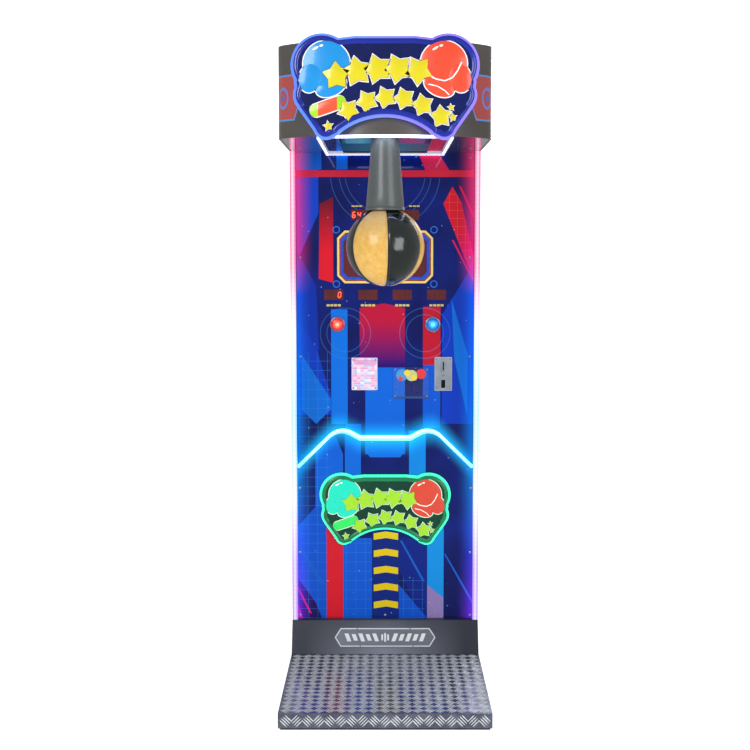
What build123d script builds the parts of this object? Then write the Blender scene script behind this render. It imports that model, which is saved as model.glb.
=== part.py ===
from build123d import *
import os
from math import cos, pi, sin, sqrt

# Boxing punch machine: a tall cabinet on a step-up platform, with an overhanging head that
# carries a ball on a swinging arm. Millimetres, +X right, +Y back, +Z up. The origin is on
# the floor, in the middle of the width and of the depth.

os.makedirs("parts", exist_ok=True)

# ---------------------------------------------------------------- overall sizes
total_depth = 1200.0          # front of the platform to the rear hardware
body_width = 700.0            # outside of the cabinet, the platform and the head
ceiling_z = 1922.0            # underside of the head
head_height = 298.0           # curved band around the head
platform_height = 56.0
platform_depth = 590.0
kick_height = 116.0           # sloping plate between platform and cabinet front
kick_lean = 50.0              # how far its foot stands forward
column_depth = 22.0           # light columns on the cabinet's front corners
column_width = 21.0
panel_recess = 90.0           # printed upper panel behind the columns' front
rear_hardware = 8.0           # hinges and wheels behind the back panel

# ---------------------------------------------------------------- sheet and board
side_board = 18.0
panel_board = 12.0
floor_board_thickness = 12.0
band_thickness = 10.0
ceiling_sheet = 6.0
roof_sheet = 8.0
tread_sheet = 3.0
kick_sheet = 3.0
tube = 40.0                   # square steel tube of the frames
tube_wall = 2.5
face_gap = 0.3                # between faces that must not rub

# ---------------------------------------------------------------- reference planes
half_width = body_width / 2
front_y = -total_depth / 2
platform_rear_y = front_y + platform_depth
column_front_y = platform_rear_y + kick_lean
cover_front_y = column_front_y + column_depth
panel_front_y = column_front_y + panel_recess
panel_back_y = panel_front_y + panel_board
back_outer_y = total_depth / 2 - rear_hardware
back_inner_y = back_outer_y - panel_board
inner_half = half_width - side_board
kick_top_z = platform_height + kick_height
head_top_z = ceiling_z + head_height
head_inner_half = half_width - band_thickness

# ---------------------------------------------------------------- head and sign
band_front_y = front_y + 44.0
band_front_radius = 500.0
band_corner_radius = 60.0
sign_width = 592.0
sign_height = 329.0
sign_low_z = ceiling_z - 19.0
sign_back_sheet = 8.0
sign_board_thickness = 12.0
sign_relief_height = 8.0
sign_halo = 9.0               # lit edge that shows around the board
lower_sign_scale = 0.83
lower_sign_low_z = 458.0
lower_sign_standoff = 8.0
standoff_rises = (0.30, 0.72)  # standoffs, as shares of a sign's height
light_frame_half = 215.0
light_bar = 12.0
light_bar_height = 7.0
opening_half = 155.0
opening_front_gap = 26.0      # ceiling left in front of the ball opening

# ---------------------------------------------------------------- punch arm
pivot_y = band_front_y + 86.0
pivot_z = ceiling_z + 108.0
arm_length = 461.0            # pivot to ball centre
ball_radius = 128.0
ball_flat_drop = 6.0          # how far the flat for the clamp plate lies below the top
ball_flat = ball_radius - ball_flat_drop
arm_tube_radius = 16.0
shaft_radius = 12.5
shaft_running_gap = 0.05
hub_radius = 30.0
hub_half = 35.0
sleeve_low_radius = 64.0
sleeve_top_radius = 43.0
sleeve_wall = 4.0
sleeve_low_z = pivot_z - 344.0
sleeve_top_z = pivot_z - 62.0
rail_inner = 160.0
rail_bottom_z = pivot_z - 70.0
rail_top_z = rail_bottom_z + tube
lever_x = 95.0
lever_width = 30.0
lever_length = 60.0
lever_thickness = 8.0
magnet_radius = 18.0

# ---------------------------------------------------------------- controls
score_z = ceiling_z - 385.0
score_width = 360.0
score_height = 197.0
score_corner = 28.0
score_rim = 24.0
upper_window_z = ceiling_z - 228.0
lower_window_z = ceiling_z - 527.0
window_width = 72.0
window_height = 38.0
window_sheet = 2.0
module_depth = 18.0
button_z = ceiling_z - 638.0
button_x = 180.0
button_radius = 29.0
dome_radius = 23.0
dome_travel = 4.0
plate_row_z = ceiling_z - 826.0
coin_plate_x = 220.0
coin_plate_width = 66.0
coin_plate_height = 128.0
plate_sheet = 3.0
coin_slot_width = 5.0
coin_slot_height = 32.0
coin_slot_rise = 30.0
return_drop = 38.0
return_width = 15.0
return_height = 30.0
reject_radius = 6.0
reject_travel = 3.0
reject_drop = 2.0
acceptor_depth = 62.0
instruction_x = -78.0
instruction_width = 98.0
instruction_height = 123.0
blank_x = 98.0
blank_width = 135.0
blank_height = 118.0
blank_drop = 34.0

# ---------------------------------------------------------------- lower cover and neon
cover_end_z = 738.0
cover_flat_z = 851.0
cover_flat_half = 95.0
cover_peak_x = 173.0
cover_peak_z = 894.0
cover_peak_radius = 65.0
cover_dip_radius = 20.0
neon_width = 12.0
neon_height = 10.0

# ---------------------------------------------------------------- rear and inside
door_width = 460.0
door_height = 900.0
door_low_z = 250.0
door_gap = 2.0
knuckle_radius = 3.7
pin_radius = 1.8
hinge_length = 80.0
lock_radius = 9.0
cam_shaft_radius = 4.0
fan_size = 120.0
fan_depth = 25.0
fan_z = ceiling_z - 322.0
fan_radius = 55.0
fan_shaft_radius = 3.0
speaker_x = 150.0
speaker_z = ceiling_z - 552.0
speaker_radius = 52.0
wheel_radius = 25.0
wheel_width = 20.0
wheel_floor_gap = 4.0
axle_radius = 5.0
foot_height = 16.0
foot_radius = 22.0
stud_radius = 6.0
strip_height = 6.0
screw_head_radius = 4.5
screw_head_height = 2.5
screw_shank_radius = 2.0
screw_hole_radius = 2.2
screw_length = 20.0
screw_edge = 8.0              # screw axis to the light column beside it
cover_screw_z = kick_top_z + 12.0


# ================================================================ helpers
def block(x_span, y_span, z_span, mode=Mode.ADD):
    """A square block between two corners, in the part that is being built."""
    spans = (x_span, y_span, z_span)
    with Locations(tuple((low + high) / 2 for low, high in spans)):
        Box(*(high - low for low, high in spans), mode=mode)


def rod_x(x_span, y, z, radius, mode=Mode.ADD):
    """A round bar along X."""
    with Locations(Plane(origin=(x_span[0], y, z), z_dir=(1, 0, 0))):
        Cylinder(radius, x_span[1] - x_span[0], align=(Align.CENTER, Align.CENTER, Align.MIN), mode=mode)


def rod_y(x, y_span, z, radius, mode=Mode.ADD):
    """A round bar along Y."""
    with Locations(Plane(origin=(x, y_span[0], z), z_dir=(0, 1, 0))):
        Cylinder(radius, y_span[1] - y_span[0], align=(Align.CENTER, Align.CENTER, Align.MIN), mode=mode)


def rod_z(x, y, z_span, radius, mode=Mode.ADD):
    """A round bar along Z."""
    with Locations((x, y, z_span[0])):
        Cylinder(radius, z_span[1] - z_span[0], align=(Align.CENTER, Align.CENTER, Align.MIN), mode=mode)


def both_sides(inner, outer):
    """The same span on the right and on the left of the middle."""
    return (inner, outer), (-outer, -inner)


def band_plan(inset):
    """The head's outline seen from above, moved inwards by inset: a large front arc, two
    rounded corners and straight sides that run back to the rear face."""
    side_x = half_width - inset
    radius = band_front_radius - inset
    centre_y = band_front_y + band_front_radius
    corner_y = centre_y - sqrt(radius ** 2 - side_x ** 2)
    with BuildSketch(Plane.XY.offset(ceiling_z)) as plan:
        with BuildLine():
            ThreePointArc((-side_x, corner_y), (0, centre_y - radius), (side_x, corner_y))
            Polyline((side_x, corner_y), (side_x, back_outer_y), (-side_x, back_outer_y),
                     (-side_x, corner_y))
        make_face()
        fillet(plan.vertices().group_by(Axis.Y)[0], band_corner_radius - inset)
    return plan.sketch


def band_outer_y(x):
    """Front face of the band at a distance x from the middle."""
    return band_front_y + band_front_radius - sqrt(band_front_radius ** 2 - x ** 2)


def sign_outline(scale, grow, low_z, y):
    """Outline of a sign: two round top lobes, a small lobe at each side, two low points and
    an arched underside. Its plane faces the front."""
    width, height = sign_width * scale, sign_height * scale
    lobe = 0.30 * height
    lobe_x, lobe_z = width / 2 - lobe, height - lobe
    side, foot = 0.17 * height, 0.12 * height
    side_x = width / 2 - side - 0.012 * width
    foot_x = 0.315 * width
    arch_radius = 0.70 * height
    arch_top = 0.215 * height
    with BuildSketch(Plane.XZ.offset(-y)) as outline:
        with Locations((-lobe_x, low_z + lobe_z), (lobe_x, low_z + lobe_z)):
            Circle(lobe)
        with Locations((-side_x, low_z + 0.42 * height), (side_x, low_z + 0.42 * height)):
            Circle(side)
        with Locations((-foot_x, low_z + foot), (foot_x, low_z + foot)):
            Circle(foot)
        with BuildLine():
            Polyline((-foot_x - 0.6 * foot, low_z + 0.2 * foot),
                     (-side_x - 0.75 * side, low_z + 0.42 * height - 0.7 * side),
                     (-lobe_x - 0.9 * lobe, low_z + 0.55 * height),
                     (-lobe_x, low_z + 0.94 * height), (-0.16 * width, low_z + 0.975 * height),
                     (0.16 * width, low_z + 0.975 * height), (lobe_x, low_z + 0.94 * height),
                     (lobe_x + 0.9 * lobe, low_z + 0.55 * height),
                     (side_x + 0.75 * side, low_z + 0.42 * height - 0.7 * side),
                     (foot_x + 0.6 * foot, low_z + 0.2 * foot), close=True)
        make_face()
        with Locations((0, low_z + arch_top - arch_radius)):
            Circle(arch_radius, mode=Mode.SUBTRACT)
        offset(amount=grow, kind=Kind.ARC)
    return outline.sketch


def star(points, outer, inner, centre, y, turn=90.0):
    """A star that faces the front."""
    corners = []
    for step in range(2 * points):
        radius = outer if step % 2 == 0 else inner
        angle = (turn + 180.0 * step / points) * pi / 180.0
        corners.append((centre[0] + radius * cos(angle), centre[1] + radius * sin(angle)))
    with BuildSketch(Plane.XZ.offset(-y)) as outline:
        with BuildLine():
            Polyline(*corners, close=True)
        make_face()
    return outline.sketch


def glove(scale, centre, side, y):
    """A plain boxing glove seen from its back: a round fist, a thumb and a cuff. side is 1
    when the thumb is on the right."""
    with BuildSketch(Plane.XZ.offset(-y)) as outline:
        with Locations(centre):
            Circle(78 * scale)
        with Locations((centre[0] + side * 46 * scale, centre[1] - 52 * scale)):
            Ellipse(42 * scale, 50 * scale)
        with Locations((centre[0] - side * 12 * scale, centre[1] - 88 * scale)):
            Rectangle(92 * scale, 62 * scale)
    return outline.sketch


def raise_artwork(scale, low_z, y):
    """Raised artwork: a glove at each end and two arched rows of stars between them."""
    height = sign_height * scale
    depth = sign_relief_height * scale
    for side in (-1, 1):
        centre = (side * 0.315 * sign_width * scale, low_z + 0.70 * height)
        extrude(glove(0.98 * scale, centre, side, y), amount=depth)
    for step in range(-2, 3):
        centre = (step * 62 * scale, low_z + height * (0.66 - 0.012 * step ** 2))
        extrude(star(5, 38 * scale, 20 * scale, centre, y), amount=depth)
    for step in range(-3, 3):
        across = step + 0.5
        centre = (across * 56 * scale, low_z + height * (0.395 - 0.022 * across ** 2))
        extrude(star(5, 27 * scale, 14 * scale, centre, y), amount=depth)


# ================================================================ platform
frame_top_z = platform_height - tread_sheet
skirt_inner = half_width - tread_sheet
platform_tube = 30.0
cross_x = 115.0

with BuildPart() as platform_frame:
    frame_front_y = front_y + tread_sheet
    frame_z = (strip_height, frame_top_z)
    for x_span in both_sides(skirt_inner - platform_tube, skirt_inner) + both_sides(
            cross_x - platform_tube / 2, cross_x + platform_tube / 2):
        block(x_span, (frame_front_y, platform_rear_y), frame_z)
    for y_low in (frame_front_y, platform_rear_y - platform_tube):
        block((-skirt_inner, skirt_inner), (y_low, y_low + platform_tube), frame_z)
    hollow_z = (frame_z[0] + tube_wall, frame_z[1] - tube_wall)
    for x_span in both_sides(skirt_inner - platform_tube, skirt_inner) + both_sides(
            cross_x - platform_tube / 2, cross_x + platform_tube / 2):
        block((x_span[0] + tube_wall, x_span[1] - tube_wall),
              (frame_front_y + tube_wall, platform_rear_y), hollow_z, Mode.SUBTRACT)
platform_frame.part.label = "platform_frame"
export_step(platform_frame.part, "parts/platform_frame.step")

with BuildPart() as tread_plate:
    block((-half_width, half_width), (front_y, platform_rear_y), (frame_top_z, platform_height))
    block((-half_width, half_width), (front_y, front_y + tread_sheet), (strip_height, frame_top_z))
    for x_span in both_sides(skirt_inner, half_width):
        block(x_span, (front_y, platform_rear_y), (strip_height, frame_top_z))
    front_corners = tread_plate.edges().filter_by(Axis.Z).group_by(Axis.Y)[0]
    chamfer(front_corners, tread_sheet * 0.6)
tread_plate.part.label = "tread_plate"
export_step(tread_plate.part, "parts/tread_plate.step")

with BuildPart() as platform_foot_strips:
    strip_width = 25.0
    strip_x = skirt_inner - 4.0
    for y_low in (front_y + 4.0, platform_rear_y - 4.0 - strip_width):
        block((-strip_x, strip_x), (y_low, y_low + strip_width), (0, strip_height))
platform_foot_strips.part.label = "platform_foot_strips"
export_step(platform_foot_strips.part, "parts/platform_foot_strips.step")

# ================================================================ base frame, feet, wheels
frame_rear_y = back_inner_y - tube
foot_x = inner_half - tube / 2
foot_front_y = platform_rear_y + 1.5 * tube
foot_rear_y = frame_rear_y - 1.5 * tube

with BuildPart() as base_frame:
    base_z = (platform_height - tube, platform_height)
    for x_span in both_sides(inner_half - tube, inner_half):
        block(x_span, (platform_rear_y, frame_rear_y), base_z)
    for y_low in (platform_rear_y, frame_rear_y - tube):
        block((-inner_half, inner_half), (y_low, y_low + tube), base_z)
    for x_span in both_sides(inner_half - tube + tube_wall, inner_half - tube_wall):
        block(x_span, (platform_rear_y + tube_wall, frame_rear_y - tube_wall),
              (base_z[0] + tube_wall, base_z[1] - tube_wall), Mode.SUBTRACT)
    for x in (-foot_x, foot_x):
        for y in (foot_front_y, foot_rear_y):
            rod_z(x, y, (base_z[0] - 1, base_z[0] + 2 * tube_wall), stud_radius + face_gap, Mode.SUBTRACT)
base_frame.part.label = "base_frame"
export_step(base_frame.part, "parts/base_frame.step")

with BuildPart() as levelling_feet:
    pad_height = 7.0
    nut_height = platform_height - tube - pad_height
    for x in (-foot_x, foot_x):
        for y in (foot_front_y, foot_rear_y):
            rod_z(x, y, (0, pad_height), foot_radius)
            with BuildSketch(Plane.XY.offset(pad_height)):
                with Locations((x, y)):
                    RegularPolygon(11.0, 6)
            extrude(amount=nut_height)
            rod_z(x, y, (pad_height, platform_height - tube + 12.0), stud_radius)
levelling_feet.part.label = "levelling_feet"
export_step(levelling_feet.part, "parts/levelling_feet.step")

wheel_z = wheel_radius + wheel_floor_gap
wheel_y = total_depth / 2 - 2.0 - wheel_radius
wheel_x = inner_half - 34.0
ear_thickness = 4.0
ear_gap = 1.5

with BuildPart() as wheel_brackets:
    for side in (-1, 1):
        centre_x = side * wheel_x
        outer = wheel_width / 2 + ear_gap + ear_thickness
        block((centre_x - outer, centre_x + outer), (frame_rear_y, frame_rear_y + ear_thickness),
              (platform_height - tube, platform_height))
        for low in (centre_x - outer, centre_x + outer - ear_thickness):
            block((low, low + ear_thickness), (frame_rear_y, wheel_y + 10.0),
                  (wheel_z - 10.0, platform_height))
        rod_x((centre_x - outer - 1, centre_x + outer + 1), wheel_y, wheel_z,
              axle_radius + shaft_running_gap, Mode.SUBTRACT)
        # the axle is a solid of its own, with a head outside each ear
        head_x = outer + face_gap
        rod_x((centre_x - head_x, centre_x + head_x), wheel_y, wheel_z, axle_radius)
        for low in (centre_x - head_x - 3.0, centre_x + head_x):
            rod_x((low, low + 3.0), wheel_y, wheel_z, axle_radius + 3.0)
wheel_brackets.part.label = "wheel_brackets"
export_step(wheel_brackets.part, "parts/wheel_brackets.step")

for side, name in ((-1, "left"), (1, "right")):
    centre_x = side * wheel_x
    with BuildPart() as transport_wheel:
        rod_x((centre_x - wheel_width / 2, centre_x + wheel_width / 2), wheel_y, wheel_z, wheel_radius)
        fillet(transport_wheel.edges().filter_by(GeomType.CIRCLE), 3.0)
        rod_x((centre_x - wheel_width / 2 - 1, centre_x + wheel_width / 2 + 1), wheel_y, wheel_z,
              axle_radius + shaft_running_gap, Mode.SUBTRACT)
    transport_wheel.part.label = f"transport_wheel_{name}"
    export_step(transport_wheel.part, f"parts/transport_wheel_{name}.step")

# ================================================================ cabinet
for side, name in ((-1, "left"), (1, "right")):
    with BuildPart() as side_panel:
        side_low_z = 20.0
        with BuildSketch(Plane.YZ.offset(inner_half if side > 0 else -half_width)):
            with BuildLine():
                Polyline((platform_rear_y, side_low_z), (back_outer_y, side_low_z),
                         (back_outer_y, ceiling_z), (cover_front_y, ceiling_z),
                         (cover_front_y, kick_top_z), (column_front_y, kick_top_z),
                         (column_front_y, platform_height), (platform_rear_y, platform_height),
                         close=True)
            make_face()
        extrude(amount=side_board)
    side_panel.part.label = f"side_panel_{name}"
    export_step(side_panel.part, f"parts/side_panel_{name}.step")

with BuildPart() as kick_plate:
    with BuildSketch(Plane.YZ.offset(-half_width)):
        with BuildLine():
            Polyline((platform_rear_y, platform_height), (column_front_y, kick_top_z),
                     (column_front_y, platform_height), close=True)
        make_face()
    extrude(amount=body_width)
    with BuildSketch(Plane.YZ.offset(-half_width + kick_sheet)) as wedge_inside:
        with BuildLine():
            Polyline((platform_rear_y + 1.1 * kick_sheet, platform_height - 1),
                     (column_front_y + 1.0, kick_top_z + 2.0 - 2.6 * kick_sheet),
                     (column_front_y + 1.0, platform_height - 1), close=True)
        make_face()
    extrude(amount=body_width - 2 * kick_sheet, mode=Mode.SUBTRACT)
    block((-inner_half, inner_half), (column_front_y - 1, cover_front_y),
          (kick_top_z - kick_sheet, kick_top_z))
kick_plate.part.label = "kick_plate"
export_step(kick_plate.part, "parts/kick_plate.step")

kick_slope = sqrt(kick_lean ** 2 + kick_height ** 2)
kick_face = Plane(
    origin=(0, platform_rear_y + kick_lean * 0.48, platform_height + kick_height * 0.48),
    x_dir=(1, 0, 0), z_dir=(0, -kick_height / kick_slope, kick_lean / kick_slope))
name_plate_width = 382.0
name_plate_height = 72.0
name_plate_point = 22.0

with BuildPart() as name_plate:
    with BuildSketch(kick_face) as hexagon:
        half_w, half_h = name_plate_width / 2, name_plate_height / 2
        with BuildLine():
            Polyline((-half_w, 0), (-half_w + name_plate_point, half_h),
                     (half_w - name_plate_point, half_h), (half_w, 0),
                     (half_w - name_plate_point, -half_h), (-half_w + name_plate_point, -half_h),
                     close=True)
        make_face()
    extrude(amount=1.5)
name_plate.part.label = "name_plate"
export_step(name_plate.part, "parts/name_plate.step")

channel_wall = 2.0
lens_depth = 4.0
channel_front_y = column_front_y + lens_depth
column_spans = both_sides(half_width - column_width, half_width)

with BuildPart() as column_channels:
    for low_x, high_x in column_spans:
        block((low_x, high_x), (channel_front_y, cover_front_y), (kick_top_z, ceiling_z))
        block((low_x + channel_wall, high_x - channel_wall),
              (channel_front_y - 1, cover_front_y - channel_wall), (kick_top_z, ceiling_z), Mode.SUBTRACT)
        # the lamp strip is a solid of its own, just clear of the channel's floor
        middle_x = (low_x + high_x) / 2
        strip_y = cover_front_y - channel_wall - face_gap
        block((middle_x - 5.0, middle_x + 5.0), (strip_y - 1.5, strip_y), (kick_top_z + 10, ceiling_z - 10))
column_channels.part.label = "column_channels"
export_step(column_channels.part, "parts/column_channels.step")

with BuildPart() as column_lenses:
    for low_x, high_x in column_spans:
        block((low_x, high_x), (column_front_y, channel_front_y), (kick_top_z, ceiling_z))
    fillet(column_lenses.edges().filter_by(Axis.Z).group_by(Axis.Y)[0], 2.5)
column_lenses.part.label = "column_lenses"
export_step(column_lenses.part, "parts/column_lenses.step")

# ---------------------------------------------------------------- back panel and rear door
door_half = door_width / 2
door_high_z = door_low_z + door_height
back_low_z = platform_height + floor_board_thickness
inlet_x, inlet_z = -200.0, 150.0
vent_pitch = 14.0

with BuildPart() as back_panel:
    block((-inner_half, inner_half), (back_inner_y, back_outer_y), (platform_height, ceiling_z))
    block((-head_inner_half, head_inner_half), (back_inner_y, back_outer_y),
          (ceiling_z, head_top_z - roof_sheet - 6.0))
    block((-door_half, door_half), (back_inner_y - 1, back_outer_y + 1),
          (door_low_z, door_high_z), Mode.SUBTRACT)
    rod_y(0, (back_inner_y - 1, back_outer_y + 1), fan_z, fan_radius + 1.0, Mode.SUBTRACT)
    block((inlet_x - 14, inlet_x + 14), (back_inner_y - 1, back_outer_y + 1),
          (inlet_z - 10, inlet_z + 10), Mode.SUBTRACT)
    for side in (-1, 1):
        for column in range(-2, 3):
            for row in range(-2, 3):
                rod_y(side * speaker_x + column * vent_pitch, (back_inner_y - 1, back_outer_y + 1),
                      speaker_z + row * vent_pitch, 3.5, Mode.SUBTRACT)
back_panel.part.label = "back_panel"
export_step(back_panel.part, "parts/back_panel.step")

hinge_x = -door_half + door_gap / 2
hinge_y = back_outer_y + rear_hardware / 2
hinge_heights = (door_low_z + 0.16 * door_height, door_low_z + 0.84 * door_height)
leaf_thickness = 2.0
leaf_width = 24.0
lock_x = door_half - 26.0
lock_z = door_low_z + door_height / 2

with BuildPart() as rear_door:
    block((-door_half + door_gap, door_half - door_gap), (back_inner_y, back_outer_y),
          (door_low_z + door_gap, door_high_z - door_gap))
    rod_y(lock_x, (back_inner_y - 1, back_outer_y + 1), lock_z, lock_radius, Mode.SUBTRACT)
rear_door.part.label = "rear_door"
export_step(rear_door.part, "parts/rear_door.step")

# each hinge has a long middle knuckle on the door and two short ones on the cabinet
knuckle_gap = 0.5
middle_half = hinge_length / 6


def hinge_leaf(x_span, z_spans):
    """Leaf on the outer face, with its knuckles bored for the pin."""
    for z_low, z_high in z_spans:
        block(x_span, (back_outer_y, back_outer_y + leaf_thickness), (z_low, z_high))
        rod_z(hinge_x, hinge_y, (z_low, z_high), knuckle_radius)
        rod_z(hinge_x, hinge_y, (z_low - 1, z_high + 1), pin_radius + shaft_running_gap, Mode.SUBTRACT)


with BuildPart() as hinge_leaves_cabinet:
    for z in hinge_heights:
        hinge_leaf((hinge_x - leaf_width, hinge_x - 1.0),
                   ((z - hinge_length / 2, z - middle_half), (z + middle_half, z + hinge_length / 2)))
        block((hinge_x - leaf_width, hinge_x - knuckle_radius - 1.5),
              (back_outer_y, back_outer_y + leaf_thickness), (z - hinge_length / 2, z + hinge_length / 2))
        # the pin is a solid of its own, with a head above and below the knuckles
        pin_half = hinge_length / 2 + face_gap
        rod_z(hinge_x, hinge_y, (z - pin_half, z + pin_half), pin_radius)
        for z_low in (z - pin_half - 1.5, z + pin_half):
            rod_z(hinge_x, hinge_y, (z_low, z_low + 1.5), knuckle_radius - 0.7)
hinge_leaves_cabinet.part.label = "hinge_leaves_cabinet"
export_step(hinge_leaves_cabinet.part, "parts/hinge_leaves_cabinet.step")

with BuildPart() as hinge_leaves_door:
    for z in hinge_heights:
        hinge_leaf((hinge_x + 1.0, hinge_x + leaf_width),
                   ((z - middle_half + knuckle_gap, z + middle_half - knuckle_gap),))
        block((hinge_x + knuckle_radius + 1.5, hinge_x + leaf_width),
              (back_outer_y, back_outer_y + leaf_thickness), (z - hinge_length / 2, z + hinge_length / 2))
hinge_leaves_door.part.label = "hinge_leaves_door"
export_step(hinge_leaves_door.part, "parts/hinge_leaves_door.step")

with BuildPart() as lock_barrel:
    rod_y(lock_x, (back_inner_y - 6.0, back_outer_y), lock_z, lock_radius - 0.1)
    rod_y(lock_x, (back_outer_y, back_outer_y + 3.0), lock_z, lock_radius + 3.0)
    rod_y(lock_x, (back_inner_y - 7.0, back_outer_y + 4.0), lock_z, cam_shaft_radius, Mode.SUBTRACT)
lock_barrel.part.label = "lock_barrel"
export_step(lock_barrel.part, "parts/lock_barrel.step")

cam_y = back_inner_y - 6.0 - face_gap
with BuildPart() as lock_cam:
    rod_y(lock_x, (cam_y - 3.0, back_outer_y + 2.5), lock_z, cam_shaft_radius - shaft_running_gap)
    block((lock_x - 8.0, lock_x + 8.0), (cam_y - 3.0, cam_y), (lock_z - 8.0, lock_z + 34.0))
    block((lock_x - 0.8, lock_x + 0.8), (back_outer_y + 0.5, back_outer_y + 3.0),
          (lock_z - 3.0, lock_z + 3.0), Mode.SUBTRACT)
lock_cam.part.label = "lock_cam"
export_step(lock_cam.part, "parts/lock_cam.step")

with BuildPart() as power_inlet:
    block((inlet_x - 24, inlet_x + 24), (back_outer_y, back_outer_y + 3.0), (inlet_z - 15, inlet_z + 15))
    block((inlet_x - 13.5, inlet_x + 13.5), (back_inner_y - 14.0, back_outer_y),
          (inlet_z - 9.5, inlet_z + 9.5))
    block((inlet_x - 11.5, inlet_x + 11.5), (back_inner_y - 4.0, back_outer_y + 4.0),
          (inlet_z - 7.5, inlet_z + 7.5), Mode.SUBTRACT)
    for x in (-6.5, 0, 6.5):
        block((inlet_x + x - 1, inlet_x + x + 1), (back_inner_y - 5.0, back_outer_y - 2.0),
              (inlet_z - 2.5, inlet_z + 2.5))
power_inlet.part.label = "power_inlet"
export_step(power_inlet.part, "parts/power_inlet.step")

# ---------------------------------------------------------------- cooling fan
fan_half = fan_size / 2
fan_y = (back_inner_y - fan_depth, back_inner_y)
motor_radius = 20.0
guard_radius = fan_radius + 5.0

with BuildPart() as fan_housing:
    block((-fan_half, fan_half), fan_y, (fan_z - fan_half, fan_z + fan_half))
    rod_y(0, (fan_y[0] - 1, fan_y[1] + 1), fan_z, fan_radius + 1.0, Mode.SUBTRACT)
    rod_y(0, (fan_y[0], fan_y[0] + 4.0), fan_z, motor_radius)
    for angle in (45, 135, 225, 315):
        with Locations(Plane(origin=(0, fan_y[0] + 2.0, fan_z), x_dir=(cos(angle * pi / 180), 0,
                             sin(angle * pi / 180)), z_dir=(0, 1, 0))):
            Box(fan_radius + 3.0, 6.0, 4.0, align=(Align.MIN, Align.CENTER, Align.CENTER))
    rod_y(0, (fan_y[0] - 1, fan_y[0] + 5.0), fan_z, fan_shaft_radius + shaft_running_gap, Mode.SUBTRACT)
    # wire guard on the outside of the back panel
    for radius in (16.0, 30.0, 44.0, guard_radius):
        with BuildSketch(Plane.XZ.offset(-back_outer_y - 2.0)):
            with Locations((0, fan_z)):
                Circle(radius)
                Circle(radius - 2.5, mode=Mode.SUBTRACT)
        extrude(amount=2.0)
    for turn in (45, 135, 225, 315):
        direction = (cos(turn * pi / 180), 0, sin(turn * pi / 180))
        with Locations(Plane(origin=(0, back_outer_y + 2.0, fan_z), x_dir=direction, z_dir=(0, 1, 0))):
            Box(guard_radius + 10.0, 3.0, 2.0, align=(Align.MIN, Align.CENTER, Align.MIN))
fan_housing.part.label = "fan_housing"
export_step(fan_housing.part, "parts/fan_housing.step")

with BuildPart() as fan_rotor:
    rod_y(0, (fan_y[0] + 4.5, fan_y[1] - 3.0), fan_z, motor_radius)
    rod_y(0, (fan_y[0], fan_y[0] + 5.0), fan_z, fan_shaft_radius)
    for blade in range(7):
        angle = 2 * pi * blade / 7
        blade_plane = Plane(origin=(0, (fan_y[0] + fan_y[1]) / 2 + 1.0, fan_z),
                            x_dir=(cos(angle), 0, sin(angle)),
                            z_dir=(0.6 * sin(angle), 0.8, -0.6 * cos(angle)))
        with Locations(blade_plane):
            Box(fan_radius - 5.0, 20.0, 2.0, align=(Align.MIN, Align.CENTER, Align.CENTER))
fan_rotor.part.label = "fan_rotor"
export_step(fan_rotor.part, "parts/fan_rotor.step")

# ================================================================ printed upper panel
panel_low_z = cover_end_z - 20.0
panel_screws_x = half_width - column_width - screw_edge
upper_screw_heights = (ceiling_z - 16.0, ceiling_z - 386.0, ceiling_z - 760.0)
cover_screw_heights = (cover_screw_z, kick_top_z + 254.0, kick_top_z + 500.0)
window_places = [(-92.0, upper_window_z), (92.0, upper_window_z)] + [
    (across * 64.5, lower_window_z) for across in (-3, -1, 1, 3)]
plate_places = {"coin": (coin_plate_x, plate_row_z),
                "instruction": (instruction_x, plate_row_z),
                "blank": (blank_x, plate_row_z - blank_drop)}
acceptor_width = coin_plate_width - 10.0
acceptor_height = coin_plate_height - 12.0
cut_gap = 1.0
barrel_radius = dome_radius + 2.0

with BuildPart() as upper_panel:
    block((-inner_half, inner_half), (panel_front_y, panel_back_y), (panel_low_z, ceiling_z))
    hole_y = (panel_front_y - 1, panel_back_y + 1)
    for x, z in window_places:
        block((x - window_width / 2 + 4, x + window_width / 2 - 4), hole_y,
              (z - window_height / 2 + 4, z + window_height / 2 - 4), Mode.SUBTRACT)
    block((-score_width / 2 + score_rim + 30, score_width / 2 - score_rim - 30), hole_y,
          (score_z - score_height / 2 + score_rim + 26, score_z + score_height / 2 - score_rim - 26),
          Mode.SUBTRACT)
    for x in (-button_x, button_x):
        rod_y(x, hole_y, button_z, barrel_radius + cut_gap, Mode.SUBTRACT)
    block((coin_plate_x - acceptor_width / 2 - cut_gap, coin_plate_x + acceptor_width / 2 + cut_gap),
          hole_y, (plate_row_z - acceptor_height / 2 - cut_gap, plate_row_z + acceptor_height / 2 + cut_gap),
          Mode.SUBTRACT)
    for x in (-panel_screws_x, panel_screws_x):
        for z in upper_screw_heights:
            rod_y(x, hole_y, z, screw_hole_radius, Mode.SUBTRACT)
upper_panel.part.label = "upper_panel"
export_step(upper_panel.part, "parts/upper_panel.step")

with BuildPart() as floor_and_battens:
    block((-inner_half, inner_half), (column_front_y, back_inner_y), (platform_height, back_low_z))
    batten = 20.0
    for x_span in both_sides(inner_half - batten, inner_half):
        block(x_span, (panel_back_y, panel_back_y + batten), (panel_low_z, ceiling_z - 90.0))
        for z in upper_screw_heights[1:]:
            x = panel_screws_x if x_span[0] > 0 else -panel_screws_x
            rod_y(x, (panel_back_y - 1, panel_back_y + batten + 1), z, screw_hole_radius, Mode.SUBTRACT)
floor_and_battens.part.label = "floor_and_battens"
export_step(floor_and_battens.part, "parts/floor_and_battens.step")

# ---------------------------------------------------------------- lower cover

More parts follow.
